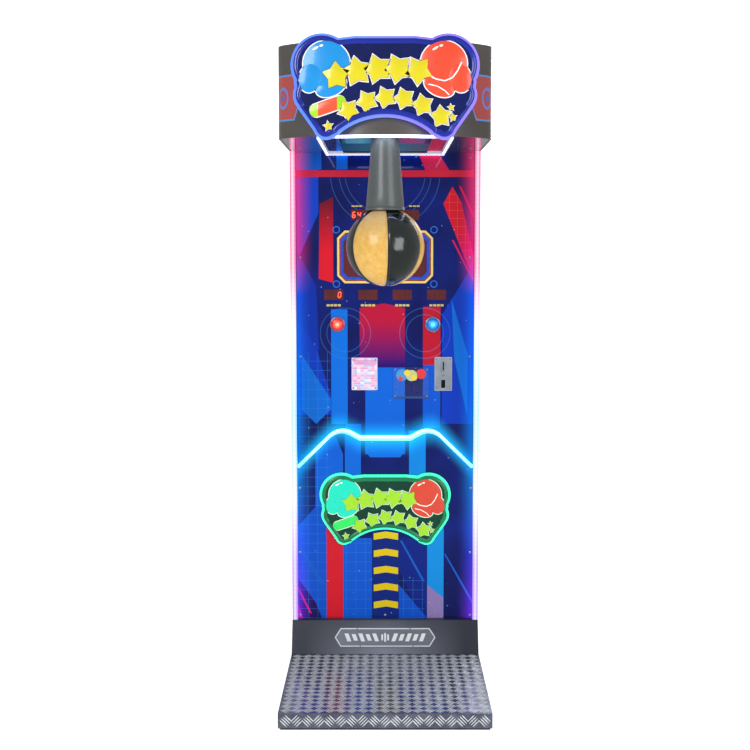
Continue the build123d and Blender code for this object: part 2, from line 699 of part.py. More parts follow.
with BuildPart() as lower_cover:
    for inset, y_low, mode in ((0.0, cover_front_y, Mode.ADD),
                               (panel_board, cover_front_y + panel_board, Mode.SUBTRACT)):
        side_x = inner_half - inset
        low_z = kick_top_z + inset
        with BuildSketch(Plane.XZ.offset(-panel_front_y)) as cover_outline:
            with BuildLine():
                Polyline((-side_x, low_z), (-side_x, cover_end_z - inset),
                         (-cover_peak_x, cover_peak_z - inset), (-cover_flat_half, cover_flat_z - inset),
                         (cover_flat_half, cover_flat_z - inset), (cover_peak_x, cover_peak_z - inset),
                         (side_x, cover_end_z - inset), (side_x, low_z), close=True)
            make_face()
            peaks = cover_outline.vertices().filter_by_position(
                Axis.Y, cover_peak_z - inset - 0.1, cover_peak_z - inset + 0.1)
            fillet(peaks, cover_peak_radius - inset)
            dips = cover_outline.vertices().filter_by_position(
                Axis.Y, cover_flat_z - inset - 0.1, cover_flat_z - inset + 0.1)
            fillet(dips, cover_dip_radius)
        extrude(amount=panel_front_y - y_low, mode=mode)
    for x in (-panel_screws_x, panel_screws_x):
        for z in cover_screw_heights:
            rod_y(x, (cover_front_y - 1, cover_front_y + screw_length + 1), z, screw_hole_radius, Mode.SUBTRACT)
    rod_y(0, (cover_front_y - 1, cover_front_y + screw_length + 1), cover_screw_z,
          screw_hole_radius, Mode.SUBTRACT)
lower_cover.part.label = "lower_cover"
export_step(lower_cover.part, "parts/lower_cover.step")

with BuildPart() as neon_strip:
    for rise, mode in ((neon_height, Mode.ADD), (0.0, Mode.SUBTRACT)):
        with BuildSketch(Plane.XZ.offset(-panel_front_y)) as neon_outline:
            with BuildLine():
                Polyline((-inner_half, cover_end_z - 60), (-inner_half, cover_end_z + rise),
                         (-cover_peak_x, cover_peak_z + rise), (-cover_flat_half, cover_flat_z + rise),
                         (cover_flat_half, cover_flat_z + rise), (cover_peak_x, cover_peak_z + rise),
                         (inner_half, cover_end_z + rise), (inner_half, cover_end_z - 60), close=True)
            make_face()
            peaks = neon_outline.vertices().filter_by_position(
                Axis.Y, cover_peak_z + rise - 0.1, cover_peak_z + rise + 0.1)
            fillet(peaks, cover_peak_radius + rise)
            dips = neon_outline.vertices().filter_by_position(
                Axis.Y, cover_flat_z + rise - 0.1, cover_flat_z + rise + 0.1)
            fillet(dips, cover_dip_radius)
        extrude(amount=neon_width, mode=mode)
neon_strip.part.label = "neon_strip"
export_step(neon_strip.part, "parts/neon_strip.step")

# ---------------------------------------------------------------- score frame and windows
plate_front_y = panel_front_y - plate_sheet


def octagon(width, height, corner, y):
    """A rectangle with its corners cut off, facing the front."""
    with BuildSketch(Plane.XZ.offset(-y)) as outline:
        with Locations((0, score_z)):
            Rectangle(width, height)
        chamfer(outline.vertices(), corner)
    return outline.sketch


with BuildPart() as score_frame:
    extrude(octagon(score_width, score_height, score_corner, panel_front_y), amount=plate_sheet)
    extrude(octagon(score_width - 2 * score_rim, score_height - 2 * score_rim,
                    score_corner - score_rim * 0.4, panel_front_y), amount=plate_sheet, mode=Mode.SUBTRACT)
    ring_x = score_width / 2 + 3.0
    ring_z = score_height / 2 + 3.0
    for x in (-ring_x, ring_x):
        for z in (score_z - ring_z, score_z + ring_z):
            rod_y(x, (panel_front_y - plate_sheet, panel_front_y), z, 14.0)
            rod_y(x, (panel_front_y - plate_sheet - 1, panel_front_y + 1), z, 10.0, Mode.SUBTRACT)
score_frame.part.label = "score_frame"
export_step(score_frame.part, "parts/score_frame.step")

with BuildPart() as display_windows:
    for x, z in window_places:
        block((x - window_width / 2, x + window_width / 2), (panel_front_y - window_sheet, panel_front_y),
              (z - window_height / 2, z + window_height / 2))
    extrude(octagon(score_width - 2 * score_rim - 2, score_height - 2 * score_rim - 2,
                    score_corner - score_rim * 0.4, panel_front_y), amount=window_sheet)
display_windows.part.label = "display_windows"
export_step(display_windows.part, "parts/display_windows.step")

board_sheet = 1.6
board_y = panel_front_y + module_depth + face_gap
board_spans = ((upper_window_z, 135.0, 25.0), (score_z, score_width / 2 - 40.0, 70.0),
               (lower_window_z, 240.0, 25.0))

with BuildPart() as display_units:
    for x, z in window_places:
        block((x - window_width / 2 + 5, x + window_width / 2 - 5),
              (panel_front_y + face_gap, panel_front_y + module_depth),
              (z - window_height / 2 + 5, z + window_height / 2 - 5))
    block((-score_width / 2 + score_rim + 31, score_width / 2 - score_rim - 31),
          (panel_front_y + face_gap, panel_front_y + module_depth),
          (score_z - score_height / 2 + score_rim + 27, score_z + score_height / 2 - score_rim - 27))
    # circuit boards on spacers behind the modules
    for z, half_span, half_rise in board_spans:
        block((-half_span, half_span), (board_y, board_y + board_sheet), (z - half_rise, z + half_rise))
        for x in (-half_span + 5, half_span - 5):
            rod_y(x, (panel_back_y, board_y), z, 3.0)
display_units.part.label = "display_units"
export_step(display_units.part, "parts/display_units.step")

# ---------------------------------------------------------------- illuminated buttons
bezel_depth = 7.0
barrel_rear_y = panel_back_y + 22.0

with BuildPart() as button_bezels:
    for x in (-button_x, button_x):
        rod_y(x, (panel_front_y - bezel_depth, panel_front_y), button_z, button_radius)
    fillet(button_bezels.edges().filter_by(GeomType.CIRCLE).group_by(Axis.Y)[0], 4.0)
    for x in (-button_x, button_x):
        rod_y(x, (panel_front_y, barrel_rear_y), button_z, barrel_radius)
        rod_y(x, (panel_front_y - bezel_depth - 1, barrel_rear_y - 3.0), button_z,
              dome_radius + face_gap, Mode.SUBTRACT)
button_bezels.part.label = "button_bezels"
export_step(button_bezels.part, "parts/button_bezels.step")

with BuildPart() as button_fittings:
    for x in (-button_x, button_x):
        rod_y(x, (panel_back_y, panel_back_y + 8.0), button_z, barrel_radius + 7.0)
        rod_y(x, (panel_back_y - 1, panel_back_y + 9.0), button_z, barrel_radius, Mode.SUBTRACT)
    # lamp holders behind the barrels
    for x in (-button_x, button_x):
        rod_y(x, (barrel_rear_y, barrel_rear_y + 16.0), button_z, 14.0)
        block((x - 8, x + 8), (barrel_rear_y + 16.0, barrel_rear_y + 30.0), (button_z - 14, button_z + 14))
button_fittings.part.label = "button_fittings"
export_step(button_fittings.part, "parts/button_fittings.step")

for side, name in ((-1, "left"), (1, "right")):
    dome_front_y = panel_front_y - bezel_depth - 9.0
    with BuildPart() as button_dome:
        rod_y(side * button_x, (dome_front_y, panel_back_y), button_z, dome_radius)
        fillet(button_dome.edges().filter_by(GeomType.CIRCLE).group_by(Axis.Y)[0], 8.5)
        rod_y(side * button_x, (panel_back_y, barrel_rear_y - 3.0 - dome_travel - 1.0), button_z, 9.0)
    button_dome.part.label = f"button_{name}"
    export_step(button_dome.part, f"parts/button_{name}.step")

# ---------------------------------------------------------------- coin entry
slot_z = plate_row_z + coin_slot_rise
return_z = plate_row_z - return_drop
reject_z = plate_row_z - reject_drop
acceptor_y = (panel_front_y, panel_front_y + acceptor_depth)
slot_half = coin_slot_width / 2
coin_path_wall = 3.0

with BuildPart() as coin_plate:
    half_w, half_h = coin_plate_width / 2, coin_plate_height / 2
    block((coin_plate_x - half_w, coin_plate_x + half_w), (plate_front_y, panel_front_y),
          (plate_row_z - half_h, plate_row_z + half_h))
    fillet(coin_plate.edges().filter_by(Axis.Y), 3.0)
    cut_y = (plate_front_y - 7.0, panel_front_y + 1)
    block((coin_plate_x - slot_half - 4, coin_plate_x + slot_half + 4), (plate_front_y - 4.0, panel_front_y),
          (slot_z - coin_slot_height / 2 - 5, slot_z + coin_slot_height / 2 + 5))
    block((coin_plate_x - slot_half, coin_plate_x + slot_half), cut_y,
          (slot_z - coin_slot_height / 2, slot_z + coin_slot_height / 2), Mode.SUBTRACT)
    block((coin_plate_x - return_width / 2, coin_plate_x + return_width / 2), cut_y,
          (return_z - return_height / 2, return_z + return_height / 2), Mode.SUBTRACT)
    rod_y(coin_plate_x, cut_y, reject_z, reject_radius + face_gap, Mode.SUBTRACT)
coin_plate.part.label = "coin_plate"
export_step(coin_plate.part, "parts/coin_plate.step")

chute_x = coin_plate_x
with BuildPart() as coin_acceptor:
    block((coin_plate_x - acceptor_width / 2, coin_plate_x + acceptor_width / 2), acceptor_y,
          (plate_row_z - acceptor_height / 2, plate_row_z + acceptor_height / 2))
    block((coin_plate_x - slot_half, coin_plate_x + slot_half),
          (acceptor_y[0] - 1, acceptor_y[1] - coin_path_wall),
          (slot_z - coin_slot_height / 2, slot_z + coin_slot_height / 2), Mode.SUBTRACT)
    block((coin_plate_x - slot_half, coin_plate_x + slot_half),
          (acceptor_y[0] + 22.0, acceptor_y[1] - coin_path_wall),
          (plate_row_z - acceptor_height / 2 - 1, slot_z), Mode.SUBTRACT)
    block((coin_plate_x - return_width / 2, coin_plate_x + return_width / 2),
          (acceptor_y[0] - 1, acceptor_y[0] + 18.0),
          (return_z - return_height / 2, return_z + return_height / 2), Mode.SUBTRACT)
    rod_y(coin_plate_x, (acceptor_y[0] - 1, acceptor_y[0] + 12.0), reject_z,
          reject_radius + face_gap, Mode.SUBTRACT)
coin_acceptor.part.label = "coin_acceptor"
export_step(coin_acceptor.part, "parts/coin_acceptor.step")

with BuildPart() as reject_button:
    rod_y(coin_plate_x, (plate_front_y - 5.0, acceptor_y[0] + 12.0 - reject_travel - 1.0), reject_z,
          reject_radius)
    fillet(reject_button.edges().filter_by(GeomType.CIRCLE).group_by(Axis.Y)[0], 1.2)
reject_button.part.label = "reject_button"
export_step(reject_button.part, "parts/reject_button.step")

cash_box_wall = 1.5
cash_box_x = (coin_plate_x - 130.0, coin_plate_x + 50.0)
cash_box_y = (panel_back_y + 4.0, panel_back_y + 244.0)
cash_box_z = (back_low_z, back_low_z + 150.0)
chute_half = 22.0
chute_wall = 1.5
chute_top_z = plate_row_z - acceptor_height / 2

with BuildPart() as coin_chute:
    tube_y = (panel_back_y + 8.0, panel_back_y + 8.0 + 42.0)
    block((chute_x - chute_half, chute_x + chute_half), tube_y, (cash_box_z[1] - 12.0, chute_top_z))
    block((chute_x - chute_half + chute_wall, chute_x + chute_half - chute_wall),
          (tube_y[0] + chute_wall, tube_y[1] - chute_wall), (cash_box_z[1] - 13.0, chute_top_z + 1),
          Mode.SUBTRACT)
coin_chute.part.label = "coin_chute"
export_step(coin_chute.part, "parts/coin_chute.step")

with BuildPart() as cash_box:
    block(cash_box_x, cash_box_y, cash_box_z)
    block((cash_box_x[0] + cash_box_wall, cash_box_x[1] - cash_box_wall),
          (cash_box_y[0] + cash_box_wall, cash_box_y[1] - cash_box_wall),
          (cash_box_z[0] + cash_box_wall, cash_box_z[1] + 1), Mode.SUBTRACT)
cash_box.part.label = "cash_box"
export_step(cash_box.part, "parts/cash_box.step")

with BuildPart() as front_plates:
    x, z = plate_places["instruction"]
    block((x - instruction_width / 2, x + instruction_width / 2), (plate_front_y, panel_front_y),
          (z - instruction_height / 2, z + instruction_height / 2))
    x, z = plate_places["blank"]
    block((x - blank_width / 2, x + blank_width / 2), (plate_front_y, panel_front_y),
          (z - blank_height / 2, z + blank_height / 2))
    fillet(front_plates.edges().filter_by(Axis.Y), 4.0)
    block((x - blank_width / 2 + 4, x + blank_width / 2 - 4), (plate_front_y - 3.0, panel_front_y),
          (z - blank_height / 2, z - blank_height / 2 + 3.0))
front_plates.part.label = "front_plates"
export_step(front_plates.part, "parts/front_plates.step")

# ---------------------------------------------------------------- screws in the front
with BuildPart() as front_screws:
    for x in (-panel_screws_x, panel_screws_x):
        for z in upper_screw_heights:
            rod_y(x, (panel_front_y - screw_head_height, panel_front_y), z, screw_head_radius)
        for z in cover_screw_heights:
            rod_y(x, (cover_front_y - screw_head_height, cover_front_y), z, screw_head_radius)
    rod_y(0, (cover_front_y - screw_head_height, cover_front_y), cover_screw_z, screw_head_radius)
    head_rims = front_screws.edges().filter_by(GeomType.CIRCLE).filter_by(
        lambda edge: abs(edge.center().Y - panel_front_y + screw_head_height) < 0.01
        or abs(edge.center().Y - cover_front_y + screw_head_height) < 0.01)
    fillet(head_rims, 1.2)
    for x in (-panel_screws_x, panel_screws_x):
        for z in upper_screw_heights:
            rod_y(x, (panel_front_y, panel_front_y + screw_length), z, screw_shank_radius)
        for z in cover_screw_heights:
            rod_y(x, (cover_front_y, cover_front_y + screw_length), z, screw_shank_radius)
    rod_y(0, (cover_front_y, cover_front_y + screw_length), cover_screw_z, screw_shank_radius)
    # smaller flat heads at the corners of the plates on the panel
    for (x, z), width, height in ((plate_places["coin"], coin_plate_width, coin_plate_height),
                                  (plate_places["instruction"], instruction_width, instruction_height),
                                  (plate_places["blank"], blank_width, blank_height)):
        for x_side in (-1, 1):
            for z_side in (-1, 1):
                rod_y(x + x_side * (width / 2 - 7.0), (plate_front_y - 1.8, plate_front_y),
                      z + z_side * (height / 2 - 8.0), 3.0)
front_screws.part.label = "front_screws"
export_step(front_screws.part, "parts/front_screws.step")

# ================================================================ the two signs
# A lit back sheet on standoffs, a thick board and raised artwork. The large sign stands in
# front of the curved band, the small one on the lower cover.
top_back_y = front_y + sign_back_sheet + sign_board_thickness + sign_relief_height + 4.0
top_board_y = top_back_y - sign_back_sheet
top_relief_y = top_board_y - sign_board_thickness
lower_back_y = cover_front_y - lower_sign_standoff
lower_board_y = lower_back_y - sign_back_sheet * lower_sign_scale
lower_relief_y = lower_board_y - sign_board_thickness * lower_sign_scale

with BuildPart() as sign_backplates:
    extrude(sign_outline(1.0, 0.0, sign_low_z, top_back_y), amount=sign_back_sheet)
    extrude(sign_outline(lower_sign_scale, 0.0, lower_sign_low_z, lower_back_y),
            amount=sign_back_sheet * lower_sign_scale)
sign_backplates.part.label = "sign_backplates"
export_step(sign_backplates.part, "parts/sign_backplates.step")

with BuildPart() as sign_boards:
    extrude(sign_outline(1.0, -sign_halo, sign_low_z, top_board_y), amount=sign_board_thickness)
    extrude(sign_outline(lower_sign_scale, -sign_halo, lower_sign_low_z, lower_board_y),
            amount=sign_board_thickness * lower_sign_scale)
sign_boards.part.label = "sign_boards"
export_step(sign_boards.part, "parts/sign_boards.step")

with BuildPart() as sign_artwork:
    raise_artwork(1.0, sign_low_z, top_relief_y)
    raise_artwork(lower_sign_scale, lower_sign_low_z, lower_relief_y)
sign_artwork.part.label = "sign_artwork"
export_step(sign_artwork.part, "parts/sign_artwork.step")

standoff_radius = 8.0
standoff_x = 0.29 * sign_width
with BuildPart() as sign_standoffs:
    for x in (-standoff_x, standoff_x):
        for rise in standoff_rises:
            rod_y(x, (top_back_y, band_outer_y(standoff_x + standoff_radius) + 1.0),
                  sign_low_z + rise * sign_height, standoff_radius)
    extrude(band_plan(0.0), amount=head_height, mode=Mode.SUBTRACT)
    for x in (-standoff_x * lower_sign_scale, standoff_x * lower_sign_scale):
        for rise in standoff_rises:
            rod_y(x, (lower_back_y, cover_front_y),
                  lower_sign_low_z + rise * sign_height * lower_sign_scale, standoff_radius * 0.8)
sign_standoffs.part.label = "sign_standoffs"
export_step(sign_standoffs.part, "parts/sign_standoffs.step")

# ================================================================ head shell
roof_low_z = head_top_z - roof_sheet - 6.0

with BuildPart() as marquee_band:
    extrude(band_plan(0.0), amount=head_height)
    extrude(band_plan(band_thickness), amount=head_height, mode=Mode.SUBTRACT)
    block((-head_inner_half, head_inner_half), (back_inner_y, back_outer_y + 1),
          (ceiling_z - 1, head_top_z + 1), Mode.SUBTRACT)
marquee_band.part.label = "marquee_band"
export_step(marquee_band.part, "parts/marquee_band.step")

opening_y = (band_front_y + band_thickness + opening_front_gap, panel_front_y - light_bar)
ceiling_top_z = ceiling_z + ceiling_sheet

with BuildPart() as ceiling_panel:
    extrude(band_plan(band_thickness), amount=ceiling_sheet)
    block((-half_width, half_width), (panel_back_y, back_outer_y + 1),
          (ceiling_z - 1, ceiling_top_z + 1), Mode.SUBTRACT)
    block((-opening_half, opening_half), opening_y, (ceiling_z - 1, ceiling_top_z + 1), Mode.SUBTRACT)
ceiling_panel.part.label = "ceiling_panel"
export_step(ceiling_panel.part, "parts/ceiling_panel.step")

with BuildPart() as ceiling_light:
    # a bar that follows the band at the front, two legs and a rear bar
    light_y = (band_front_y, panel_front_y)
    for inset, mode in ((band_thickness + 4.0, Mode.ADD), (band_thickness + 4.0 + light_bar, Mode.SUBTRACT)):
        with BuildSketch(Plane.XY.offset(ceiling_z)):
            add(band_plan(inset))
            with Locations((0, (light_y[0] + light_y[1]) / 2)):
                trim_x = 2 * (light_frame_half + light_bar / 2) if mode is Mode.ADD else (
                    2 * (light_frame_half - light_bar / 2))
                trim_y = light_y[1] - light_y[0] - (0.0 if mode is Mode.ADD else 2 * light_bar)
                Rectangle(trim_x, trim_y, mode=Mode.INTERSECT)
        extrude(amount=-light_bar_height, mode=mode)
ceiling_light.part.label = "ceiling_light"
export_step(ceiling_light.part, "parts/ceiling_light.step")

with BuildPart() as roof_panel:
    extrude(band_plan(band_thickness), amount=roof_low_z + roof_sheet - ceiling_z)
    block((-half_width, half_width), (-total_depth, total_depth), (ceiling_z - 1, roof_low_z), Mode.SUBTRACT)
roof_panel.part.label = "roof_panel"
export_step(roof_panel.part, "parts/roof_panel.step")

# ================================================================ mechanism in the head
rail_outer = rail_inner + tube
rail_front_y = band_outer_y(rail_outer) + band_thickness + 14.0
cross_ys = (panel_back_y + 8.0, back_inner_y - tube)
bridge_y = (pivot_y + 34.0, pivot_y + 34.0 + tube)
bridge_z = (pivot_z + 80.0, pivot_z + 80.0 + tube)
end_plate = 4.0
shelf_y = pivot_y - lever_length / 2 - 8.0

with BuildPart() as mechanism_frame:
    for x_span in both_sides(rail_inner, rail_outer):
        block(x_span, (rail_front_y, back_inner_y), (rail_bottom_z, rail_top_z))
        block(x_span, bridge_y, (rail_top_z, bridge_z[1]))
    for y_low in cross_ys:
        block((-inner_half, inner_half), (y_low, y_low + tube), (rail_bottom_z - tube, rail_bottom_z))
        for x_span in both_sides(inner_half - end_plate, inner_half):
            block(x_span, (y_low, y_low + tube), (ceiling_z - 80.0, rail_bottom_z))
    block((-rail_outer, rail_outer), bridge_y, bridge_z)
    for x_span in both_sides(rail_inner + tube_wall, rail_outer - tube_wall):
        block(x_span, (rail_front_y - 1, back_inner_y + 1),
              (rail_bottom_z + tube_wall, rail_top_z - tube_wall), Mode.SUBTRACT)
    # magnet shelf and stop plate beside the armature lever
    shelf_z = (rail_bottom_z + 20.0, rail_bottom_z + 25.0)
    block((lever_x - magnet_radius, lever_x + magnet_radius),
          (shelf_y - magnet_radius, shelf_y + magnet_radius), shelf_z)
    block((lever_x - magnet_radius, rail_inner), (rail_front_y - 12.0, pivot_y), shelf_z)
    block((lever_x - 15.0, lever_x + 15.0), (pivot_y + 20.0, pivot_y + 25.0),
          (pivot_z + 36.0, bridge_z[0] + 5.0))
    block((lever_x - 15.0, lever_x + 15.0), (pivot_y + 20.0, bridge_y[0]), (bridge_z[0], bridge_z[0] + 5.0))
mechanism_frame.part.label = "mechanism_frame"
export_step(mechanism_frame.part, "parts/mechanism_frame.step")

bearing_radius = 22.0
with BuildPart() as bearing_blocks:
    for x_span in both_sides(rail_inner, rail_outer):
        block(x_span, (rail_front_y, bridge_y[0] - face_gap), (rail_top_z, rail_top_z + 10.0))
        block(x_span, (rail_front_y, pivot_y + 20.0), (rail_top_z, pivot_z))
        rod_x(x_span, pivot_y, pivot_z, bearing_radius)
        rod_x((x_span[0] - 1, x_span[1] + 1), pivot_y, pivot_z, shaft_radius + shaft_running_gap, Mode.SUBTRACT)
bearing_blocks.part.label = "bearing_blocks"
export_step(bearing_blocks.part, "parts/bearing_blocks.step")

encoder_x = -rail_inner + 12.0
encoder_radius = 36.0
shaft_half = rail_outer + 6.0
with BuildPart() as pivot_shaft:
    rod_x((-shaft_half, shaft_half), pivot_y, pivot_z, shaft_radius)
    # slotted disc that the speed sensor reads, a solid of its own
    with BuildSketch(Plane.YZ.offset(encoder_x)):
        with Locations((pivot_y, pivot_z)):
            Circle(encoder_radius)
            Circle(shaft_radius + shaft_running_gap, mode=Mode.SUBTRACT)
            with PolarLocations(encoder_radius - 7.0, 24):
                Rectangle(7.0, 3.0, mode=Mode.SUBTRACT)
    extrude(amount=2.0)
pivot_shaft.part.label = "pivot_shaft"
export_step(pivot_shaft.part, "parts/pivot_shaft.step")

ball_z = pivot_z - arm_length
clamp_plate_z = ball_z + ball_flat
tube_end_z = ball_z + 0.45 * ball_radius

with BuildPart() as swing_arm:
    rod_x((-hub_half, hub_half), pivot_y, pivot_z, hub_radius)
    rod_z(0, pivot_y, (tube_end_z, pivot_z), arm_tube_radius)
    rod_z(0, pivot_y, (clamp_plate_z, clamp_plate_z + 6.0), sqrt(ball_radius ** 2 - ball_flat ** 2) - 1.0)
    rod_x((-hub_half - 1, hub_half + 1), pivot_y, pivot_z, shaft_radius, Mode.SUBTRACT)
    rod_z(0, pivot_y, (tube_end_z - 1, pivot_z - hub_radius - 4.0), arm_tube_radius - 3.0, Mode.SUBTRACT)
swing_arm.part.label = "swing_arm"
export_step(swing_arm.part, "parts/swing_arm.step")

with BuildPart() as bag_sleeve:
    with BuildSketch(Plane(origin=(0, pivot_y, 0), x_dir=(1, 0, 0), z_dir=(0, -1, 0))):
        with BuildLine():
            Polyline((sleeve_low_radius - sleeve_wall, sleeve_low_z), (sleeve_low_radius, sleeve_low_z),
                     (sleeve_top_radius, sleeve_top_z), (arm_tube_radius, sleeve_top_z),
                     (arm_tube_radius, sleeve_top_z - 8.0),
                     (sleeve_top_radius - sleeve_wall, sleeve_top_z - 8.0), close=True)
        make_face()
    revolve(axis=Axis((0, pivot_y, 0), (0, 0, 1)))
bag_sleeve.part.label = "bag_sleeve"
export_step(bag_sleeve.part, "parts/bag_sleeve.step")

with BuildPart() as punch_bag:
    with Locations((0, pivot_y, ball_z)):
        Sphere(ball_radius)
    block((-ball_radius, ball_radius), (pivot_y - ball_radius, pivot_y + ball_radius),
          (clamp_plate_z, ball_z + ball_radius + 1), Mode.SUBTRACT)
    rod_z(0, pivot_y, (tube_end_z, ball_z + ball_radius), arm_tube_radius, Mode.SUBTRACT)
punch_bag.part.label = "punch_bag"
export_step(punch_bag.part, "parts/punch_bag.step")

with BuildPart() as armature_lever:
    rod_x((lever_x - lever_width / 2, lever_x + lever_width / 2), pivot_y, pivot_z, shaft_radius + 5.5)
    block((lever_x - lever_width / 2, lever_x + lever_width / 2),
          (pivot_y - lever_thickness / 2, pivot_y + lever_thickness / 2), (pivot_z, pivot_z + lever_length))
    rod_x((lever_x - lever_width / 2 - 1, lever_x + lever_width / 2 + 1), pivot_y, pivot_z,
          shaft_radius, Mode.SUBTRACT)
armature_lever.part.label = "armature_lever"
export_step(armature_lever.part, "parts/armature_lever.step")

with BuildPart() as hold_magnet:
    magnet_top_z = pivot_z - lever_thickness / 2 - face_gap - 0.2
    rod_z(lever_x, shelf_y, (shelf_z[1], magnet_top_z), magnet_radius)
    fillet(hold_magnet.edges().filter_by(GeomType.CIRCLE).group_by(Axis.Z)[-1], 1.5)
hold_magnet.part.label = "hold_magnet"
export_step(hold_magnet.part, "parts/hold_magnet.step")

with BuildPart() as arm_buffers:
    # rest buffer behind the lever, and a pad under the bridge for the raised arm
    rod_y(lever_x, (pivot_y + lever_thickness / 2 + face_gap, pivot_y + 20.0), pivot_z + 48.0, 9.0)
    block((-24.0, 24.0), (bridge_y[0] + 4.0, bridge_y[1] - 4.0), (pivot_z + sleeve_top_radius + 1.5, bridge_z[0]))
arm_buffers.part.label = "arm_buffers"
export_step(arm_buffers.part, "parts/arm_buffers.step")

# ================================================================ electrics in the cabinet
with BuildPart() as cabinet_electronics:
    # power supply on the floor board and the main board on the left side panel
    supply_x = (-inner_half + 60.0, -inner_half + 220.0)
    block(supply_x, (panel_back_y + 120.0, panel_back_y + 220.0), (back_low_z, back_low_z + 50.0))
    board_low_z = ceiling_z - 900.0
    block((-inner_half, -inner_half + 20.0), (panel_back_y + 60.0, panel_back_y + 310.0),
          (board_low_z, board_low_z + 320.0))
    block((-inner_half + 12.0, -inner_half + 21.0), (panel_back_y + 66.0, panel_back_y + 304.0),
          (board_low_z + 6.0, board_low_z + 314.0), Mode.SUBTRACT)
    # forked speed sensor on the left rail, around the edge of the slotted disc
    sensor_z = pivot_z - encoder_radius
    block((-rail_inner, encoder_x + 8.0), (pivot_y - 9.0, pivot_y + 9.0), (sensor_z - 14.0, sensor_z + 12.0))
    block((encoder_x - 1.5, encoder_x + 3.5), (pivot_y - 10.0, pivot_y + 10.0),
          (sensor_z - 4.0, sensor_z + 13.0), Mode.SUBTRACT)
cabinet_electronics.part.label = "cabinet_electronics"
export_step(cabinet_electronics.part, "parts/cabinet_electronics.step")

with BuildPart() as speakers:
    for x in (-speaker_x, speaker_x):
        rod_y(x, (back_inner_y - 6.0, back_inner_y), speaker_z, speaker_radius + 8.0)
        with Locations(Plane(origin=(x, back_inner_y - 6.0, speaker_z), z_dir=(0, -1, 0))):
            Cone(speaker_radius, 24.0, 34.0, align=(Align.CENTER, Align.CENTER, Align.MIN))
        rod_y(x, (back_inner_y - 58.0, back_inner_y - 40.0), speaker_z, 32.0)
        with Locations(Plane(origin=(x, back_inner_y + 1.0, speaker_z), z_dir=(0, -1, 0))):
            Cone(speaker_radius - 2.0, 18.0, 32.0, align=(Align.CENTER, Align.CENTER, Align.MIN),
                 mode=Mode.SUBTRACT)
speakers.part.label = "speakers"
export_step(speakers.part, "parts/speakers.step")
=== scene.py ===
"""Looks of a boxing punch machine, built round its CAD frame."""

import math

import bmesh
import bpy
from bpy.props import FloatProperty, FloatVectorProperty, IntProperty, PointerProperty
from mathutils import Matrix, Vector


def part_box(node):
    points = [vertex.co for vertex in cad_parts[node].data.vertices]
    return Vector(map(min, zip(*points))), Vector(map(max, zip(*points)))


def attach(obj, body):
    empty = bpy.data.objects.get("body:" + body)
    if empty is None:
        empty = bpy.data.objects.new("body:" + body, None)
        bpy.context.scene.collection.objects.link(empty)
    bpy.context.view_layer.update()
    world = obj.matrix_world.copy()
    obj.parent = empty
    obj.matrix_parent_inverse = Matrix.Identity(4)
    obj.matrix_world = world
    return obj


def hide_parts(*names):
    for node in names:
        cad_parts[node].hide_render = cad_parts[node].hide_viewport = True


bl_info = {
    "name": "Boxing Punch Machine",
    "version": (1, 0, 0),
    "blender": (4, 5, 0),
    "location": "View3D > Sidebar > Punch Machine",
    "description": "Builds the looks of a boxing punch machine round its CAD frame",
    "category": "Object",
}

MM = 0.001
FACING_FRONT = Matrix.Rotation(math.radians(90), 4, "X")  # a shape drawn in XY then faces -Y
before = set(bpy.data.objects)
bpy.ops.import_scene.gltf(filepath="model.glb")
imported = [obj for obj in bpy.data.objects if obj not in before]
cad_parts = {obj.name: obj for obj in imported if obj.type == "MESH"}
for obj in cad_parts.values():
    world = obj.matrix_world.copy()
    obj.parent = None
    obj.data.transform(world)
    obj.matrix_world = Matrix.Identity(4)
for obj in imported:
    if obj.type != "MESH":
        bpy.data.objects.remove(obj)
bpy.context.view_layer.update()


# ------------------------------------------------------------------ materials
def ink(red, green, blue):
    """Linear colour of an ink given on a 0 to 255 screen scale."""
    def linear(level):
        share = level / 255
        return share / 12.92 if share <= 0.04045 else ((share + 0.055) / 1.055) ** 2.4
    return (linear(red), linear(green), linear(blue), 1.0)


class Value:
    """A socket of a finish. Arithmetic on it adds Math nodes."""

    def __init__(self, finish, socket):
        self.finish, self.socket = finish, socket

    def math(self, operation, *values):
        return self.finish.node("ShaderNodeMath", {"operation": operation}, dict(enumerate(values)))

    def __add__(self, other):
        return self.math("ADD", self, other)

    def __radd__(self, other):
        return self.math("ADD", other, self)

    def __sub__(self, other):
        return self.math("SUBTRACT", self, other)

    def __rsub__(self, other):
        return self.math("SUBTRACT", other, self)

    def __mul__(self, other):
        return self.math("MULTIPLY", self, other)

    def __rmul__(self, other):
        return self.math("MULTIPLY", other, self)

    def __truediv__(self, other):
        return self.math("DIVIDE", self, other)

    def __rtruediv__(self, other):
        return self.math("DIVIDE", other, self)

    def __pow__(self, other):
        return self.math("POWER", self, other)

    def __mod__(self, other):
        return self.math("FLOORED_MODULO", self, other)

    def __gt__(self, other):
        return self.math("GREATER_THAN", self, other)

    def __lt__(self, other):
        return self.math("LESS_THAN", self, other)

    def __and__(self, other):
        return self.math("MULTIPLY", self, other)

    def __or__(self, other):
        return self.math("MAXIMUM", self, other)

    def __abs__(self):
        return self.math("ABSOLUTE", self)

    def near(self, middle, reach):
        """1 where the value is within reach of middle."""
        return self.math("COMPARE", self, middle, reach)


